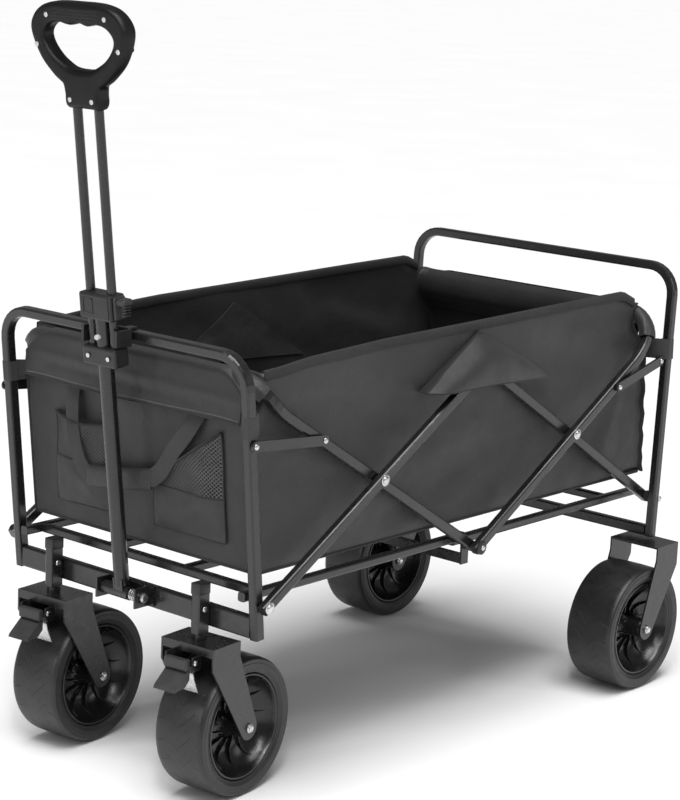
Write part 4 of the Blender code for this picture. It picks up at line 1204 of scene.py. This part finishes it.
def corner_loop(tag, s, front):
    """Strap sewn to a corner of the basket that goes once round the upright."""
    z = 0.5035 if front else 0.5040
    half = 0.0132 if front else 0.0150
    if front:
        cx, cy = front_upright(z), s * FRONT_POST_Y
        hx, hy = 0.0075 + LOOP_GAP, 0.0065 + LOOP_GAP
        corner = Vector((end_x(z, True) + 0.010, s * (SIDE_Y - 0.002), z))
        lean = Vector((-0.1003, 0, 1)).normalized()
        body = "front_frame"
    else:
        cx, cy = rear_upright(z), s * REAR_POST_Y
        hx, hy = 0.0066 + LOOP_GAP, 0.0066 + LOOP_GAP
        corner = Vector((end_x(z, False) - 0.014, s * (SIDE_Y - 0.002), z))
        lean = Vector((-0.0368, 0, 1)).normalized()
        body = "rear_frame"
    d = 1 if front else -1
    shares = ((1, -0.4), (0.7, -1), (-0.7, -1), (-1, -0.7), (-1, 0.7), (-0.7, 1), (0.7, 1), (1, 0.7))
    pts = [Vector((cx + d * hx * a, cy + s * hy * b, z)) for a, b in shares]
    inner_a = corner + Vector((0, -s * 0.0012, 0))
    inner_b = corner + Vector((0, s * 0.0014, 0))
    path = [inner_a, (inner_a + pts[0]) / 2] + pts + [(inner_b + pts[-1]) / 2, inner_b]
    rows = [[p + lean * (half * k / 3) for k in range(-3, 4)] for p in path]
    band = sheet_mesh(rows, 0.0012, (d, 0, 0))
    return add(f"corner_loop_{'front' if front else 'rear'}_{tag}", band, WEBBING, body, 40)


# ---------------------------------------------------------------- floor boards
def floor_panels():
    """The basket's floor: two cloth panels, each carried by one half of the folding floor frame."""
    half_y = SIDE_Y - 0.0046
    ends = ((FRONT_BOTTOM_X + 0.0040, MID_X - 0.0004, "front"),
            (MID_X + 0.0004, REAR_BOTTOM_X - 0.0010, "rear"))
    for x0, x1, tag in ends:
        rows = []
        for i in range(33):
            x = x0 + (x1 - x0) * i / 32
            row = []
            for j in range(29):
                y = half_y * (j / 14 - 1)
                row.append((x, y, FLOOR_Z + 0.0002 + wobble((x, y, 0), 12, 0.0006, 2.0)))
            rows.append(row)
        panel = add(f"floor_panel_{tag}", sheet_mesh(rows, 0.0014, (0, 0, 1)), CLOTH, f"floor_{tag}",
                    60)


def floor_boards():
    """Four stiffened, padded boards side by side on the floor, two on each half of the floor frame."""
    end_gap, between, half_y, count = 0.012, 0.0015, 0.1900, 4
    x0, x1 = FRONT_BOTTOM_X + end_gap, REAR_BOTTOM_X - end_gap
    for k in range(count):
        a = x0 + (x1 - x0) * k / count + between
        b = x0 + (x1 - x0) * (k + 1) / count - between
        n = 16
        top, bottom = [], []
        for i in range(n + 1):
            u = -1 + 2 * i / n
            upper, under = [], []
            for j in range(2 * n + 1):
                v = -1 + 2 * j / (2 * n)
                e = (1 - abs(u) ** 5) * (1 - abs(v) ** 9)
                x, y = (a + b) / 2 + (b - a) / 2 * u * (1 - 0.01 * v * v), v * half_y * (1 - 0.004 * u * u)
                base = FLOOR_Z + 0.0030
                crown = 0.0045 * e ** 0.6 + wobble((x, y, 0), 14, 0.0008, k)
                upper.append((x, y, base + 0.0020 + crown))
                under.append((x, y, base - 0.0002 + 0.0006 * (1 - e)))
            top.append(upper)
            bottom.append(under)
        half = "floor_front" if k < 2 else "floor_rear"
        # the boards take the darker copy of the cloth: painted shade
        board = add(f"floor_board_{k + 1}", slab(bottom, top), CLOTH_SHADED, half, 60)


basket_body()
for tag, s in SIDES:
    rim_binding(s)
    side_flap(s)
    corner_loop(tag, s, True)
    corner_loop(tag, s, False)
    for end in ("front", "rear"):
        tyre(f"{end}_{tag}")
        rim(f"{end}_{tag}")
corner_piping()
FRONT_TILT, REAR_TILT = math.pi - math.radians(31.3 + 22.0), math.radians(31.3 + 36.0)
sleeve("front_sleeve", FRONT_TUBE, 0.2185, FRONT_TILT, math.radians(55), "front_hoop")
sleeve("rear_sleeve", REAR_TUBE, 0.2325, REAR_TILT, math.radians(78), "rear_hoop")
valance(True)
valance(False)
pouches()
carry_strap()
floor_panels()
floor_boards()
scissor_fasteners()
caster_details()
grip()
grip()
handle_details()


# ---------------------------------------------------------------- floor, light, camera
FLOOR_GAP = -0.0004                        # the floor lies a hair under the tyres


def backdrop():
    bm = bmesh.new()
    n, size = 24, 60.0
    at = [-size / 2 + size * i / n for i in range(n + 1)]
    rows = [[bm.verts.new((x, y, FLOOR_GAP)) for y in at] for x in at]
    for i in range(n):
        for j in range(n):
            bm.faces.new([rows[i][j], rows[i + 1][j], rows[i + 1][j + 1], rows[i][j + 1]])
    m, nt, b, co = new_material("studio_floor")
    mottle(nt, b, "Base Color", noise_tex(nt, co, 2.0, 3), 0.93, 0.96, 0.8)
    b.inputs["Roughness"].default_value = 0.9
    bump(nt, b, [(noise_tex(nt, co, 220, 3), 0.05, 0.0006)])
    me = bpy.data.meshes.new("studio_floor")
    bm.to_mesh(me)
    bm.free()
    me.materials.append(m)
    put("studio_floor", me)


def area_light(name, place, target, size, power):
    data = bpy.data.lights.new(name, "AREA")
    data.shape = "RECTANGLE"
    data.size, data.size_y = size
    data.energy = power
    ob = put(name, data)
    ob.location = place
    ob.rotation_euler = (Vector(target) - Vector(place)).to_track_quat("-Z", "Y").to_euler()


WORLD_LIGHT, WORLD_SEEN, SUN_POWER, SUN_ANGLE = 0.24, 1.0, 2.75, 40


def studio():
    bpy.context.scene.view_settings.view_transform = "Standard"
    world = bpy.data.worlds.new("studio")
    bpy.context.scene.world = world
    world.use_nodes = True
    nt = world.node_tree
    bg = nt.nodes["Background"]
    bg.inputs["Color"].default_value = (1.0, 1.0, 1.0, 1)
    seen = nt.nodes.new("ShaderNodeLightPath")
    level = node(nt, "ShaderNodeMapRange")
    level.inputs["To Min"].default_value = WORLD_LIGHT
    level.inputs["To Max"].default_value = WORLD_SEEN
    nt.links.new(seen.outputs["Is Camera Ray"], level.inputs["Value"])
    nt.links.new(level.outputs[0], bg.inputs["Strength"])
    sun = bpy.data.lights.new("overhead", "SUN")
    sun.energy = SUN_POWER
    sun.angle = math.radians(SUN_ANGLE)
    ob = put("overhead", sun)
    ob.rotation_euler = Vector((0.22, 0.16, -1.0)).to_track_quat("-Z", "Y").to_euler()
    area_light("key", (-1.7, -1.4, 2.4), (0, 0, 0.35), (0.22, 1.4), 22)
    area_light("side", (-3.0, 0.9, 1.3), (0, 0, 0.4), (0.2, 1.4), 11)
    area_light("right", (1.2, -2.8, 1.8), (0, 0, 0.4), (0.2, 1.6), 8)


def camera():
    data = bpy.data.cameras.new("camera")
    ob = put("camera", data)
    right = Vector((0.65824, -0.75162, 0.0422)).normalized()
    up = Vector((0.12989, 0.16861, 0.97709))
    up = (up - right * up.dot(right)).normalized()
    back = right.cross(up)
    turn = Matrix((right, up, back)).transposed()
    ob.matrix_world = Matrix.Translation((-2.4045, -2.0822, 1.1261)) @ turn.to_4x4()
    data.sensor_fit = "HORIZONTAL"
    data.sensor_width = 36.0
    data.lens = 122.84
    data.clip_start, data.clip_end = 0.1, 60
    bpy.context.scene.camera = ob


backdrop()
studio()
camera()
